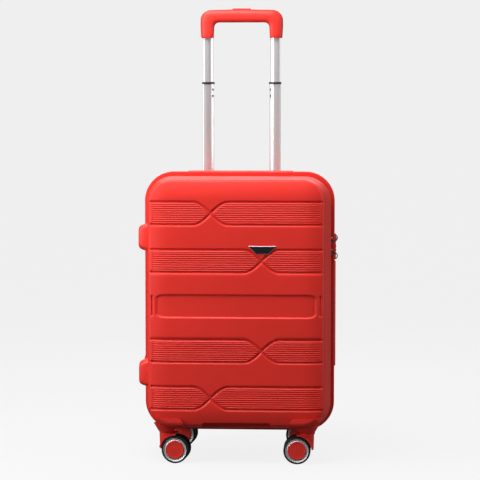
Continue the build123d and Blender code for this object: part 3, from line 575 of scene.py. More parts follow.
def rounded_block(name, low, high, radius, slot, body, segments=4):
    """Box with all its edges rounded."""
    mesh = bpy.data.meshes.new(name)
    work = bmesh.new()
    bmesh.ops.create_cube(work, size=1.0)
    low, high = Vector(low), Vector(high)
    for v in work.verts:
        v.co = Vector([(low[i] + high[i]) / 2 + v.co[i] * (high[i] - low[i]) for i in range(3)]) * MM
    bmesh.ops.bevel(
        work, geom=work.edges[:], offset=radius * MM, segments=segments, affect="EDGES", profile=0.5
    )
    work.to_mesh(mesh)
    work.free()
    points = [v.co.copy() for v in mesh.vertices]
    faces = [tuple(f.vertices) for f in mesh.polygons]
    bpy.data.meshes.remove(mesh)
    return piece(name, points, faces, slot, body)


# ---------------------------------------------------------------- wheels

AXLE_HEIGHT = 25.5
SWIVEL = (132.0, 85.0)
TRAIL = 18.5

for name, swivel_x, swivel_y, yaw in (
    ("front_left", -SWIVEL[0], -SWIVEL[1], -5.0),
    ("front_right", SWIVEL[0], -SWIVEL[1], 180.0),
    ("rear_left", -SWIVEL[0], SWIVEL[1], -5.0),
    ("rear_right", SWIVEL[0], SWIVEL[1], 180.0),
):
    trail_way = Vector((cos(radians(yaw)), sin(radians(yaw)), 0))
    axle = Vector((-trail_way.y, trail_way.x, 0))
    middle = Vector((swivel_x, swivel_y, AXLE_HEIGHT)) + trail_way * TRAIL
    body = f"{name}_wheels"
    for side in (-1, 1):
        label = f"{name}_{'ab'[side > 0]}"
        way = axle * side
        tyre = [(22.2, 4.3), (23.6, 4.3), (24.9, 4.9), (25.5, 6.3)]
        for along in (8.4, 11.2, 14.0):
            tyre += [(25.5, along - 0.5), (25.05, along - 0.2), (25.05, along + 0.2), (25.5, along + 0.5)]
        tyre += [(25.5, 16.2), (25.1, 17.4), (24.2, 18.1), (22.9, 18.2), (22.2, 17.8)]
        rim = [(2.6, 4.4), (22.2, 4.4), (22.25, 17.4), (21.8, 17.9), (21.2, 17.7), (20.4, 16.9)]
        rim += [(18.9, 16.5), (18.1, 16.9), (17.6, 17.3), (17.35, 16.6), (17.3, 15.7), (2.6, 15.7)]
        cap = [(0.01, 15.6), (17.1, 15.6), (17.15, 17.2), (16.8, 17.9), (16.1, 18.25), (14.9, 18.1)]
        cap += [(14.2, 17.95), (9.0, 18.15), (4.0, 18.2), (0.01, 18.2)]
        turned(f"{label}_tyre", tyre, "tyre_black", body, middle, way, 96)
        turned(f"{label}_rim", rim, "rim_silver", body, middle, way, 80, 30.0)
        turned(f"{label}_cap", cap, "red_trim", body, middle, way, 72, 30.0)
    for part in ("tyre", "rim", "cap"):
        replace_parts(bpy.data.objects[f"{name}_a_{part}"], f"{name}_{part}s")

# ---------------------------------------------------------------- side feet

FOOT_HEIGHTS = (421.0, 163.5)
FOOT_DEPTHS = (("front", "lid", -44.0), ("back", "case_back", 54.0))
# Half depth, half height, corner radius and X of each section, from inside the shell outward
FOOT_SECTIONS = (
    (19.0, 25.0, 8.0, -166.0),
    (18.8, 24.8, 8.0, -174.0),
    (17.6, 23.4, 9.0, -180.0),
    (16.2, 21.2, 9.5, -184.4),
    (14.8, 19.2, 9.0, -186.3),
    (13.0, 17.2, 8.0, -187.0),
)
QUARTERS = ((1, 1), (-1, 1), (-1, -1), (1, -1))
QUARTER_STEPS = 8


def foot_ring(half_y, half_z, corner, x, foot_y, height):
    ring = []
    for quarter, (sign_y, sign_z) in enumerate(QUARTERS):
        for k in range(QUARTER_STEPS + 1):
            angle = radians(90 * (quarter + k / QUARTER_STEPS))
            y = foot_y + sign_y * (half_y - corner) + corner * cos(angle)
            ring.append((x, y, height + sign_z * (half_z - corner) + corner * sin(angle)))
    return ring


for foot_name, foot_body, foot_y in FOOT_DEPTHS:
    for number, height in enumerate(FOOT_HEIGHTS, start=1):
        layers = [foot_ring(*section, foot_y, height) for section in FOOT_SECTIONS]
        foot = lofted(f"{foot_name}_side_foot_{number}", layers, "red_trim", foot_body)
        if number == 1:
            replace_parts(foot, f"{foot_name}_side_feet")

# ---------------------------------------------------------------- badge

BADGE_MIDDLE = (49.0, 402.0)


def badge_plate(name, inset, low, high, slot):
    """Inverted trapezoid plate with a bevelled front, between two distances off the shell."""
    layers = []
    for extra, off in ((0.0, low), (0.0, high - 0.35), (0.35, high)):
        by = inset + extra
        half_top, half_bottom, half_high = 26.0 - by * 1.9, 12.0 - by * 0.75, 7.5 - by
        layers.append(
            [
                (BADGE_MIDDLE[0] + px, FRONT_FACE - off, BADGE_MIDDLE[1] + pz)
                for px, pz in (
                    (-half_top, half_high),
                    (-half_bottom, -half_high),
                    (half_bottom, -half_high),
                    (half_top, half_high),
                )
            ]
        )
    return lofted(name, layers, slot, "lid", 20.0)


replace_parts(badge_plate("badge_rim", 0.0, -3.2, 1.0, "steel"), "badge")
badge_plate("badge_face", 0.9, 0.6, 1.3, "badge_black")

# ---------------------------------------------------------------- trolley handle

TUBE_X = 65.0
TUBE_Y = 90.0
LOCK_WINDOW_DROPS = (12.0, 24.5)


def tube_ring(side, width, depth, bevel_x, bevel_y, z, round_off=2.2):
    """Section of one trolley tube, with long bevels toward the other tube."""
    inner, outer = -side * width / 2, side * width / 2
    ring = []
    for sign in (1, -1):
        arc = [
            (
                outer - side * round_off + side * round_off * cos(a),
                sign * (depth / 2 - round_off + round_off * sin(a)),
            )
            for a in [radians(90 * k / 5) for k in range(6)]
        ]
        bevelled = [
            (inner + side * (bevel_x + 0.4), sign * depth / 2),
            (inner + side * (bevel_x - 0.3), sign * (depth / 2 - 0.2)),
            (inner + side * 0.4, sign * (depth / 2 - bevel_y + 0.2)),
            (inner, sign * (depth / 2 - bevel_y - 0.4)),
        ]
        half = arc + bevelled
        ring += half if sign > 0 else half[::-1]
    return [(side * TUBE_X + px, TUBE_Y + py, z) for px, py in ring]


upper_low, upper_high = (corner.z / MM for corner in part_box("upper_tubes"))
lower_low, lower_high = (corner.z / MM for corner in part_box("lower_tubes"))
for side, hand in ((-1, "left"), (1, "right")):
    upper = [tube_ring(side, 18.6, 11.6, 6.4, 4.2, z) for z in (upper_low, upper_low + 100, upper_high)]
    lower = [tube_ring(side, 21.2, 14.2, 7.0, 4.8, z) for z in (lower_low, lower_low + 100, lower_high)]
    upper_tube = lofted(f"upper_tube_{hand}", upper, "tube_aluminium", "trolley_upper")
    lower_tube = lofted(f"lower_tube_{hand}", lower, "tube_aluminium", "trolley_lower")
    collar = [
        tube_ring(side, 24.2 - cut, 17.2 - cut, 7.4, 5.2, lower_high + up, 3.2)
        for cut, up in ((0.8, -1.2), (0.0, -0.6), (0.0, 1.6), (0.8, 2.6), (3.0, 2.9))
    ]
    collar_piece = lofted(f"trolley_collar_{hand}", collar, "collar_black", "trolley_lower")
    if side < 0:
        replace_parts(upper_tube, "upper_tubes")
        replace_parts(lower_tube, "lower_tubes")
        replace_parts(collar_piece, "lower_collars")
    for number, drop in enumerate(LOCK_WINDOW_DROPS, start=1):
        z = lower_high - drop
        x = side * (TUBE_X - 10.6 + 1.6)
        rounded_block(
            f"lock_window_{hand}_{number}",
            (x - 0.9, TUBE_Y - 4.7, z - 2.4),
            (x + 0.9, TUBE_Y - 2.4, z + 2.4),
            0.5,
            "collar_black",
            "trolley_lower",
            2,
        )

# Grip: a rounded section swept along the bar and down both legs
GRIP_LOW = 800.0
GRIP_UNDERSIDE = 830.0
GRIP_HALF_DEPTH = 10.9
GRIP_SECTION_POINTS = 28


def grip_section(centre, out, half_thick, half_depth):
    """Ring of the grip's section; out points away from the hand space."""
    ring = []
    for k in range(GRIP_SECTION_POINTS):
        a = 2 * pi * k / GRIP_SECTION_POINTS
        c, d = cos(a), sin(a)
        u = np.sign(c) * abs(c) ** 0.62 * half_thick
        v = np.sign(d) * abs(d) ** 0.72 * half_depth
        if c > 0:
            v *= 1 - 0.26 * c
        ring.append((centre[0] + out[0] * u, TUBE_Y + v, centre[1] + out[1] * u))
    return ring


stations = []
for side in (-1, 1):
    leg = []
    for z in (GRIP_LOW, GRIP_LOW + 0.8, GRIP_LOW + 8.0, GRIP_LOW + 16.0, GRIP_LOW + 23.0):
        t = (z - GRIP_LOW) / 23.0
        inner = mix(54.6, 53.4, t)
        outer = mix(79.0, 80.4, t)
        trim = 0.5 if z == GRIP_LOW else 0.0
        middle = (side * (inner + outer) / 2, z)
        leg.append((middle, (side, 0.0), (outer - inner) / 2 - trim, GRIP_HALF_DEPTH - trim))
    for k in range(1, 11):
        a = radians(90 * k / 11)
        t = k / 11
        inner_point = (44.4 + 9.0 * cos(a), 820.6 + 9.3 * sin(a))
        outer_point = (57.5 + 22.9 * cos(a) ** 0.9, 832.0 + 22.6 * sin(a) ** 0.9)
        cx, cz = (inner_point[0] + outer_point[0]) / 2, (inner_point[1] + outer_point[1]) / 2
        wx, wz = outer_point[0] - inner_point[0], outer_point[1] - inner_point[1]
        length = hypot(wx, wz)
        leg.append(((side * cx, cz), (side * wx / length, wz / length), length / 2, GRIP_HALF_DEPTH))
    for x in (42.0, 34.0, 24.0, 12.0):
        top = 854.7 + 0.8 * (1 - (x / 45.0) ** 2)
        middle = (side * x, (top + GRIP_UNDERSIDE) / 2)
        leg.append((middle, (0.0, 1.0), (top - GRIP_UNDERSIDE) / 2, GRIP_HALF_DEPTH))
    stations.append(leg)
bar_middle = ((0.0, 842.75), (0.0, 1.0), 12.75, GRIP_HALF_DEPTH)
sections = [grip_section(*station) for station in stations[0] + [bar_middle] + stations[1][::-1]]
grip = lofted("trolley_grip", sections, "red_trim", "trolley_upper", 50.0)
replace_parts(grip, "grip_cover_top", "grip_cover_bottom")
rounded_block(
    "grip_button_cap",
    (-18.0, TUBE_Y - 6.0, 846.0),
    (18.0, TUBE_Y + 6.0, 857.0),
    1.6,
    "red_trim",
    "trolley_release",
)
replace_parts(bpy.data.objects["grip_button_cap"], "grip_button")

# ---------------------------------------------------------------- zip

ZIP_HALF_WIDTH = 174.5
ZIP_HALF_HEIGHT = 240.0
ZIP_CORNER = 49.5
GUSSET_HALF = 186.0
TOOTH_PITCH = 1.9


def outline_path(half_width, half_height, corner, pitch):
    """Points and outward ways along the zip, from the gusset's top round to its bottom end."""
    path = []

    def line(x0, z0, x1, z1, way):
        count = max(int(hypot(x1 - x0, z1 - z0) / pitch), 1)
        for k in range(count):
            t = k / count
            path.append(((mix(x0, x1, t), mix(z0, z1, t)), way))

    def arc(cx, cz, start):
        count = int(radians(90) * corner / pitch)
        for k in range(count):
            a = radians(start - 90 * k / count)
            path.append(((cx + corner * cos(a), cz + corner * sin(a)), (cos(a), sin(a))))

    sx, sz = half_width - corner, half_height - corner
    line(-half_width, CASE_MIDDLE + GUSSET_HALF + 2.0, -half_width, CASE_MIDDLE + sz, (-1.0, 0.0))
    arc(-sx, CASE_MIDDLE + sz, 180)
    line(-sx, CASE_MIDDLE + half_height, sx, CASE_MIDDLE + half_height, (0.0, 1.0))
    arc(sx, CASE_MIDDLE + sz, 90)
    line(half_width, CASE_MIDDLE + sz, half_width, CASE_MIDDLE - sz, (1.0, 0.0))
    arc(sx, CASE_MIDDLE - sz, 0)
    line(sx, CASE_MIDDLE - half_height, -sx, CASE_MIDDLE - half_height, (0.0, -1.0))
    arc(-sx, CASE_MIDDLE - sz, -90)
    line(-half_width, CASE_MIDDLE - sz, -half_width, CASE_MIDDLE - GUSSET_HALF - 2.0, (-1.0, 0.0))
    return path


for half_name, toward, zip_body in (("front", -1, "lid"), ("back", 1, "case_back")):
    points, faces = [], []
    for (px, pz), (wx, wz) in outline_path(ZIP_HALF_WIDTH, ZIP_HALF_HEIGHT, ZIP_CORNER, TOOTH_PITCH):
        tx, tz = -wz, wx
        first = len(points)
        for off, along in ((-0.7, 0.62), (0.45, 0.62), (0.85, 0.3)):
            for depth in (0.25, 2.55):
                shrink = 0.75 if depth == 0.25 else 1.0
                for way in (-1, 1):
                    points.append(
                        (
                            px + wx * off + tx * along * way * shrink,
                            toward * depth,
                            pz + wz * off + tz * along * way * shrink,
                        )
                    )
        a = first
        faces += [(a, a + 1, a + 3, a + 2), (a + 8, a + 10, a + 11, a + 9)]
        for k in (0, 4):
            b = a + k
            faces += [
                (b, b + 4, b + 5, b + 1),
                (b + 1, b + 5, b + 7, b + 3),
                (b + 3, b + 7, b + 6, b + 2),
                (b + 2, b + 6, b + 4, b),
            ]
    if toward > 0:
        faces = [f[::-1] for f in faces]
    coil = piece(f"{half_name}_zip_coil", np.array(points) * MM, faces, "zip_teeth", zip_body, 40.0)
    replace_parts(coil, f"{half_name}_zip_teeth")

# ---------------------------------------------------------------- cloth inside


def cloth_noise(x, z, seed):
    """Smooth folds, in -1..1, from a few sines of fixed directions."""
    total = np.zeros_like(x)
    for k in range(6):
        a = seed * 1.7 + k * 2.399
        rate = 0.018 + 0.011 * k
        bend = 0.8 * np.sin(0.012 * (x * sin(a) + z * cos(a)) + seed + k)
        total += np.sin(rate * (x * cos(a) + z * sin(a)) + bend * 2 + seed * 3 + k) / (1.4 + k * 0.55)
    return total / 2.2


def lining(name, toward, rim_y, face_y, face_shape, bulge, body, node):
    """Cloth that lines one half: a wrinkled floor, then walls up to the rim."""
    rim_shape = rim_outline.inset(WALL + 1.0)
    floor_shape = face_shape.inset(WALL + 6.0)
    rows = levels(floor_shape, lambda z: 5.0, 9.0)
    half = floor_shape.values[0]
    columns = [k / 34 for k in range(-34, 35)]
    x, z = grid_points(floor_shape, rows, columns)
    edge = np.minimum(half - np.abs(x), np.minimum(rows[-1] - z, z - rows[0]))
    soft = smoothstep(edge / 30.0)
    y = np.full_like(x, face_y) - toward * (1.4 + 1.1 * cloth_noise(x, z, 1.0 + toward) * soft)
    points = np.stack([x, y, z], -1).reshape(-1, 3).tolist()
    faces = grid_faces(*x.shape, flip=toward > 0)
    last = border(*x.shape)
    keys = [floor_shape.key(points[i][0], points[i][2]) for i in last]
    depths = [face_y - toward * d for d in (2.0, 5.0, 12.0, 22.0, 34.0, 35.5, 48.0, 62.0, 76.0, 86.0)]
    depths = [d for d in depths if (d - rim_y) * toward > 4.0] + [rim_y + toward * 3.4]
    for k, depth in enumerate(depths):
        t = (depth - rim_y) / (face_y - rim_y)
        shape = rim_shape.toward(face_shape.inset(WALL + 1.0), t)
        if k == 0:
            shape = shape.inset(2.5)
        ring = []
        for n, key in enumerate(keys):
            px, pz = shape.at(key)
            ripple = 0.5 * sin(n * 0.23 + depth * 0.05) + 0.4 * sin(n * 0.091 + 2.0)
            fade = 1 if 0 < k < len(depths) - 1 else 0
            ring.append(len(points))
            points.append([px - key[2] * (0.6 + ripple) * fade, depth, pz - key[3] * (0.6 + ripple) * fade])
        join_rings(faces, last, ring, flip=toward > 0)
        last = ring
    for point in points:
        bulge(point)
    made = piece(name, np.array(points) * MM, faces, "lining_fabric", body, 60.0)
    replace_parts(made, node)
    return made


def flat_area(outline):
    half_width, half_height, corner, _ = outline.values
    return 4 * half_width * half_height - (4 - pi) * corner**2


def flat_length(outline):
    half_width, half_height, corner, _ = outline.values
    return 4 * (half_width + half_height) - (8 - 2 * pi) * corner


def lining_cut(face_shape, rim_y, face_y, extra=0.0):
    """Flat area of a lining's cloth, in square metres: its floor, its walls and any box pleats."""
    floor = flat_area(face_shape.inset(WALL + 6.0))
    round_face = flat_length(face_shape.inset(WALL + 1.0))
    round_rim = flat_length(rim_outline.inset(WALL + 1.0))
    walls = (round_face + round_rim) / 2 * abs(face_y - rim_y)
    return (floor + walls + extra) * MM * MM


CHANNEL_HALF = 88.0
CHANNEL_Y = 75.5
TRAY_HALF = 94.0
TRAY_Y = 71.5
TRAY_BOTTOM = 486.0
MOUNT_HALF = 106.0
SIDE_MOUNT_X = 143.0
SIDE_MOUNT_HEIGHT = 268.0
TOP_MOUNT_Z = 502.0
LOCK_X = 164.0
LOCK_HEIGHT = 400.0
LOCK_HALF = 28.0
CASTER_TOP = 88.5


def within(offset, half, blend):
    """1 up to half away from the middle, then fading to 0 over the blend."""
    return 1 - float(smoothstep((abs(offset) - half) / blend))


def rising(value, start, blend):
    return float(smoothstep((value - start) / blend))


def front_bulge(point):
    """Pushes the cloth off the caster bosses and the hand recess."""
    x, y, z = point
    point[2] = max(z, mix(40.0, CASTER_TOP + 0.5 + 0.6 * sin(x * 0.05), rising(-y, 62.0, 8.0)))


def back_bulge(point):
    """Pushes the cloth off the trolley channel, its tray, the handle mounts, the lock and the casters."""
    x, y, z = point
    tray = within(x, TRAY_HALF, 9.0) * rising(z, TRAY_BOTTOM, 7.0)
    channel = within(x, CHANNEL_HALF, 9.0)
    point[1] = min(y, mix(120.0, CHANNEL_Y, channel), mix(120.0, TRAY_Y, tray))
    lift = rising(y, 62.0, 8.0) * rising(abs(x), 80.0, 20.0)
    point[2] = max(point[2], mix(40.0, CASTER_TOP, lift))
    deep = rising(y, 20.0, 5.0)
    side_mount = within(z - SIDE_MOUNT_HEIGHT, MOUNT_HALF, 7.0) * deep
    point[2] = min(point[2], mix(560.0, TOP_MOUNT_Z, within(x, MOUNT_HALF, 7.0) * deep))
    lock = within(z - LOCK_HEIGHT, LOCK_HALF, 6.0)
    point[0] = min(point[0], mix(200.0, SIDE_MOUNT_X, side_mount), mix(200.0, LOCK_X, lock))


back_face_outline = Outline(168.06, 233.56, 42.5, 294.0)
front_cloth = lining(
    "front_lining_cloth", -1, -14.0, -101.0, face_outline, front_bulge, "lid", "front_lining"
)
back_cloth = lining(
    "back_lining_cloth", 1, 12.0, 108.5, back_face_outline, back_bulge, "case_back", "back_lining"
)
CHANNEL_STEP = 31.5
CHANNEL_LENGTH = 420.0
front_cut = lining_cut(face_outline, -14.0, -101.0)
back_cut = lining_cut(back_face_outline, 12.0, 108.5, 2 * CHANNEL_STEP * CHANNEL_LENGTH)

# ---------------------------------------------------------------- zip tapes and gusset


def strip(name, path, profile, slot, body):
    """Single cloth strip: profile points (out, y) swept along a path of places and outward ways."""
    points = []
    for k, ((px, pz), (wx, wz)) in enumerate(path):
        for out, y in profile:
            wave = 0.12 * sin(k * 0.37 + y)
            points.append((px + wx * (out + wave), y, pz + wz * (out + wave)))
    faces = grid_faces(len(path), len(profile))
    return piece(name, np.array(points) * MM, faces, slot, body, 50.0)


TAPE_GAP = 2.6
for half_name, toward, zip_body, shell in (
    ("front", -1, "lid", "front_shell"),
    ("back", 1, "case_back", "back_shell"),
):
    low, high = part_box(f"{half_name}_zip_tape")
    far = (-low.y if toward < 0 else high.y) / MM - 0.1
    profile = [
        (out, toward * mix(TAPE_GAP, far, t))
        for out, t in (
            (-1.0, 0.0),
            (-0.1, 0.0),
            (0.25, 0.08),
            (0.3, 0.2),
            (-0.05, 0.3),
            (-0.1, 0.5),
            (0.1, 0.58),
            (-0.1, 0.66),
            (-0.15, 1.0),
            (-1.0, 1.0),
        )
    ]
    path = outline_path(ZIP_HALF_WIDTH, ZIP_HALF_HEIGHT, ZIP_CORNER, 6.0)
    tape = strip(f"{half_name}_zip_cloth", path, profile, "zip_tape", zip_body)
    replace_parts(tape, f"{half_name}_zip_tape")

gusset_low, gusset_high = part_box("hinge_strip")
gusset_y0, gusset_y1 = gusset_low.y / MM, gusset_high.y / MM
gusset_z0, gusset_z1 = gusset_low.z / MM, gusset_high.z / MM
points, faces = [], []
across = [mix(gusset_y0, gusset_y1, k / 22) for k in range(23)]
along = [mix(gusset_z0, gusset_z1, k / 150) for k in range(151)]
for z in along:
    for k, y in enumerate(across):
        seam = 0.35 if k in (2, 3, 19, 20) else 0.0
        pleat = 0.35 * cos(2 * pi * 3 * k / 22) + 0.12 * sin(z * 0.11 + k * 0.4)
        points.append((-174.35 + pleat - seam, y, z))
faces = grid_faces(len(along), len(across), flip=True)
gusset = piece("gusset_cloth", np.array(points) * MM, faces, "zip_tape", "gusset", 60.0)
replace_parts(gusset, "hinge_strip")

# ---------------------------------------------------------------- straps and pocket

STRAP_START = 24.0
STRAP_END = (169.0, 150.0)
STRAP_Y = 17.1
STITCH_Y = (16.35, 16.0)
STRAP_ARMS = [(side, up) for side in (-1, 1) for up in (-1, 1)]
strap_length = hypot(*STRAP_END)


def strap_way(side, up):
    """Unit way of one strap arm, from the buckle to its anchor."""
    return side * STRAP_END[0] / strap_length, up * STRAP_END[1] / strap_length


strap_profile = (
    (-9.3, 1.3),
    (-9.3, 0.25),
    (-8.9, 0.0),
    (-7.8, 0.0),
    (-7.4, 0.3),
    (-3.0, 0.15),
    (0.0, 0.3),
    (3.0, 0.15),
    (7.4, 0.3),
    (7.8, 0.0),
    (8.9, 0.0),
    (9.3, 0.25),
    (9.3, 1.3),
)
points, faces = [], []
for side, up in STRAP_ARMS:
    ux, uz = strap_way(side, up)
    rows = [mix(STRAP_START, strap_length - 4.0, k / 90) for k in range(91)]
    first = len(points)
    for t in rows:
        slack = 0.35 * sin(t * 0.045 + side + up) + 0.12 * sin(t * 0.9)
        doubled = -0.9 * float(smoothstep((t - strap_length + 34.0) / 2.0))
        doubled -= 0.9 * float(smoothstep((62.0 - t) / 2.0))
        for off, depth in strap_profile:
            across = off * side * up
            y = STRAP_Y + depth + slack + doubled
            points.append((ux * t - uz * across, y, CASE_MIDDLE + uz * t + ux * across))
    arm = grid_faces(len(rows), len(strap_profile), flip=side * up < 0)
    faces += [tuple(first + index for index in face) for face in arm]
straps = piece("strap_webbing_bands", np.array(points) * MM, faces, "strap_webbing", "case_back", 40.0)
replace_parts(straps, "cross_straps")
for side, up in STRAP_ARMS:
    ux, uz = strap_way(side, up)
    points, faces = [], []
    for t in (strap_length - 32.0, strap_length - 12.0, 60.0, 46.0):
        for k in range(9):
            off = -7.0 + 14.0 * k / 8
            sx, sz = ux * t - uz * off, CASE_MIDDLE + uz * t + ux * off
            first = len(points)
            for level, reach in zip(STITCH_Y, (0.75, 0.45)):
                for n in range(6):
                    a = pi / 3 * n
                    points.append((sx + 0.9 * reach * cos(a), level, sz + 0.5 * reach * sin(a)))
            faces.append(tuple(range(first + 6, first + 12)))
            for n in range(6):
                m = (n + 1) % 6
                faces.append((first + n, first + m, first + 6 + m, first + 6 + n))
    hand = f"{'upper' if up > 0 else 'lower'}_{'left' if side < 0 else 'right'}"
    piece(f"strap_stitches_{hand}", np.array(points) * MM, faces, "strap_webbing", "case_back", 60.0)

# Buckle: a frame, two side grips and a raised middle
buckle_low, buckle_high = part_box("strap_buckle")
by0, by1 = buckle_low.y / MM, buckle_high.y / MM
buckle_looks = ("inner_plastic", "case_back")
buckle = rounded_block(
    "strap_buckle_body", (-32.0, by0 + 1.6, 273.0), (32.0, by1, 315.0), 1.6, *buckle_looks
)
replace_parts(buckle, "strap_buckle")
rounded_block("strap_buckle_middle", (-19.0, by0, 280.0), (19.0, by0 + 3.0, 308.0), 1.4, *buckle_looks)
for side, hand in ((-1, "left"), (1, "right")):
    x0, x1 = sorted((side * 22.5, side * 30.5))
    for number in range(5):
        z = 284.0 + number * 5.0
        rounded_block(
            f"strap_buckle_rib_{hand}_{number}",
            (x0, by0 + 0.6, z - 1.2),
            (x1, by0 + 2.6, z + 1.2),
            0.6,
            *buckle_looks,
            2,
        )

# Net pocket: open cells in a cloth edge
POCKET_LOW = 58.0
POCKET_HIGH = 330.0
NET_PITCH = 5.2
NET_HOLE = 0.24
POCKET_HALF_WIDTH = 170.3
POCKET_CORNER = 45.0
pocket_outline = Outline(POCKET_HALF_WIDTH, 235.8, POCKET_CORNER, CASE_MIDDLE)


def net_depth(x, z):
    return -19.6 + 0.5 * sin(x * 0.045 + 1.0) * sin((z - POCKET_LOW) * 0.021)


points, faces = [], []
nodes = {}
columns = int(168 / NET_PITCH)
net_rows = int((POCKET_HIGH - 6.0 - POCKET_LOW) / NET_PITCH)
net_outline = pocket_outline.inset(3.0)


def net_node(i, j):
    if (i, j) not in nodes:
        x, z = i * NET_PITCH, POCKET_LOW + 3.0 + j * NET_PITCH
        nodes[i, j] = len(points)
        points.append((x, net_depth(x, z), z))
    return nodes[i, j]


for j in range(net_rows):
    for i in range(-columns - 1, columns + 1):
        cx, cz = (i + 0.5) * NET_PITCH, POCKET_LOW + 3.0 + (j + 0.5) * NET_PITCH
        if abs(cx) > net_outline.width_at(cz):
            continue
        outer = [net_node(i, j), net_node(i + 1, j), net_node(i + 1, j + 1), net_node(i, j + 1)]
        hole = []
        for dx, dz in ((-1, -1), (1, -1), (1, 1), (-1, 1)):
            hx, hz = cx + dx * NET_PITCH * NET_HOLE, cz + dz * NET_PITCH * NET_HOLE
            hole.append(len(points))
            points.append((hx, net_depth(hx, hz) - 0.12, hz))
        for k in range(4):
            n = (k + 1) % 4
            faces.append((outer[n], outer[k], hole[k], hole[n]))
net = piece("mesh_pocket_net", np.array(points) * MM, faces, "pocket_mesh", "lid", 60.0)
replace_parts(net, "mesh_pocket")



def paired_faces(length, wide, flip=False):
    """Faces of a thin band whose points come in pairs, one on each side of the cloth."""
    faces = []
    for k in range(length - 1):
        for i in range(wide - 1):
            a = (k * wide + i) * 2
            b = a + wide * 2
            for face in ((a, b, b + 2, a + 2), (a + 3, b + 3, b + 1, a + 1)):
                faces.append(face[::-1] if flip else face)
    return faces


points = []
edge_path = []
for k in range(121):
    z = mix(POCKET_HIGH, POCKET_LOW + 46.0, k / 120)
    edge_path.append((pocket_outline.width_at(z), z, 1.0, 0.0))
sx, sz = pocket_outline.straight
for k in range(1, 40):
    a = radians(90 * k / 40)
    corner_x, corner_z = sx + POCKET_CORNER * cos(a), CASE_MIDDLE - sz - POCKET_CORNER * sin(a)
    edge_path.append((corner_x, corner_z, cos(a), -sin(a)))
for k in range(61):
    edge_path.append((mix(sx, 0.0, k / 60), POCKET_LOW + 0.2, 0.0, -1.0))
edge_path += [(-x, z, -wx, wz) for x, z, wx, wz in reversed(edge_path[:-1])]
bind = ((0.0, 0.0), (0.6, -0.55), (3.5, -0.75), (6.4, -0.55), (7.0, 0.1))
for x, z, wx, wz in edge_path:
    for inward, proud in bind:
        points.append((x - wx * inward, net_depth(x, z) - 0.1 + proud, z - wz * inward))
        points.append((x - wx * inward, net_depth(x, z) + 0.1 - proud, z - wz * inward))
faces = paired_faces(len(edge_path), len(bind))
binding = piece("mesh_pocket_binding", np.array(points) * MM, faces, "lining_fabric", "lid", 50.0)

# Gathered elastic hem across the pocket's mouth
points = []
hem_rows = ((0.0, 0.2), (0.8, 0.9), (3.0, 1.25), (6.0, 1.0), (9.5, 1.25), (11.6, 0.9), (12.6, 0.2))
hem_columns = 221
for k in range(hem_columns):
    u = k / (hem_columns - 1) * 2 - 1
    for drop, proud in hem_rows:
        z = POCKET_HIGH - drop
        x = u * (pocket_outline.width_at(z) - 0.3)
        ruffle = 0.35 * sin(u * 150.0) * (1 - 0.4 * cos(drop * 0.5))
        y = net_depth(x, z)
        points.append((x, y - proud * 0.62 + ruffle * 0.6, z))
        points.append((x, y + proud * 0.62 + ruffle * 0.6, z))
faces = paired_faces(hem_columns, len(hem_rows), flip=True)
hem = piece("mesh_pocket_hem", np.array(points) * MM, faces, "strap_webbing", "lid", 50.0)

# ---------------------------------------------------------------- light, floor and camera


def soft_light(name, place, target, size, power):
    lamp = bpy.data.lights.new(name, "AREA")
    lamp.shape = "RECTANGLE"
    lamp.size, lamp.size_y = size
    lamp.energy = power
    made = bpy.data.objects.new(name, lamp)
    bpy.context.scene.collection.objects.link(made)
    made.location = place
    way = Vector(target) - Vector(place)
    made.rotation_euler = way.to_track_quat("-Z", "Y").to_euler()


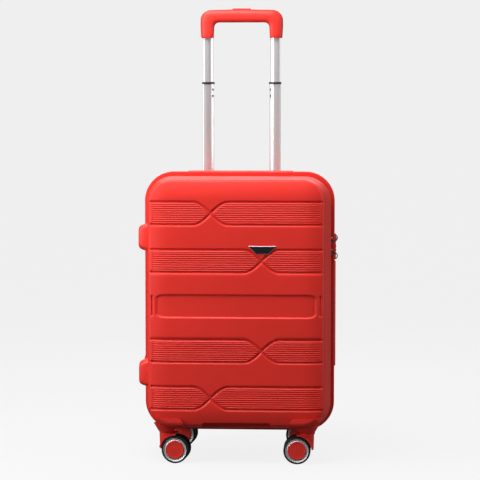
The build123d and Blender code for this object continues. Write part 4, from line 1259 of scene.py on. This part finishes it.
MIDDLE = (0, 0, 0.4)
soft_light("key_left", (-0.94, -0.56, 0.80), (0.05, -0.1, 0.33), (0.45, 1.2), 10.5)
soft_light("front_left", (-1.25, -1.70, 0.95), (-0.1, -0.1, 0.36), (0.25, 1.2), 5)
soft_light("top_soft", (-0.30, -0.42, 1.70), (0, -0.1, 0.4), (1.2, 0.7), 28)
soft_light("strip_right", (1.2, -0.22, 0.6), (0.12, -0.05, 0.33), (0.2, 1.2), 5)
soft_light("rim_back", (0.1, 1.4, 1.5), MIDDLE, (1.8, 0.8), 14)

world = bpy.data.worlds.new("studio")
world.use_nodes = True
background = world.node_tree.nodes["Background"].inputs
background["Color"].default_value = (1, 1, 1, 1)
background["Strength"].default_value = 0.10
bpy.context.scene.world = world

floor_shader = Shader("studio_floor", (0.5, 0.5, 0.5), 0.9)
cloudy = floor_shader.noise(1.5, 2.0)
floor_shader.put("Base Color", floor_shader.blend(cloudy, (0.05, 0.05, 0.05), (0.055, 0.055, 0.055)))
floor_shader.surface.inputs["Specular IOR Level"].default_value = 0.0
floor_shader.surface.inputs["Emission Color"].default_value = (1, 1, 1, 1)
floor_shader.surface.inputs["Emission Strength"].default_value = 0.852
sweep_points = []
for y, z in [(-8.0, 0.0), (0.0, 0.0), (2.0, 0.0)] + [
    (2.0 + 2.0 * sin(radians(a)), 2.0 - 2.0 * cos(radians(a))) for a in range(10, 91, 10)
] + [(4.0, 9.0)]:
    sweep_points += [(-9.0, y, z), (9.0, y, z)]
sweep_mesh = bpy.data.meshes.new("studio_sweep")
sweep_mesh.from_pydata(
    sweep_points, [], [(2 * i, 2 * i + 1, 2 * i + 3, 2 * i + 2) for i in range(len(sweep_points) // 2 - 1)]
)
sweep_mesh.materials.append(floor_shader.material)
for polygon in sweep_mesh.polygons:
    polygon.use_smooth = True
sweep = bpy.data.objects.new("studio_sweep", sweep_mesh)
bpy.context.scene.collection.objects.link(sweep)
sweep.visible_diffuse = False
sweep.visible_glossy = False

camera_data = bpy.data.cameras.new("camera")
camera_data.lens = 140.4
camera_data.sensor_width = 36.0
camera_data.clip_start, camera_data.clip_end = 0.1, 40.0
camera = bpy.data.objects.new("camera", camera_data)
bpy.context.scene.collection.objects.link(camera)
camera.location = (0.1973, -3.5623, 0.6666)
camera.rotation_euler = (radians(85.93), 0, radians(3.146))
bpy.context.scene.camera = camera
bpy.context.scene.view_settings.view_transform = "Standard"
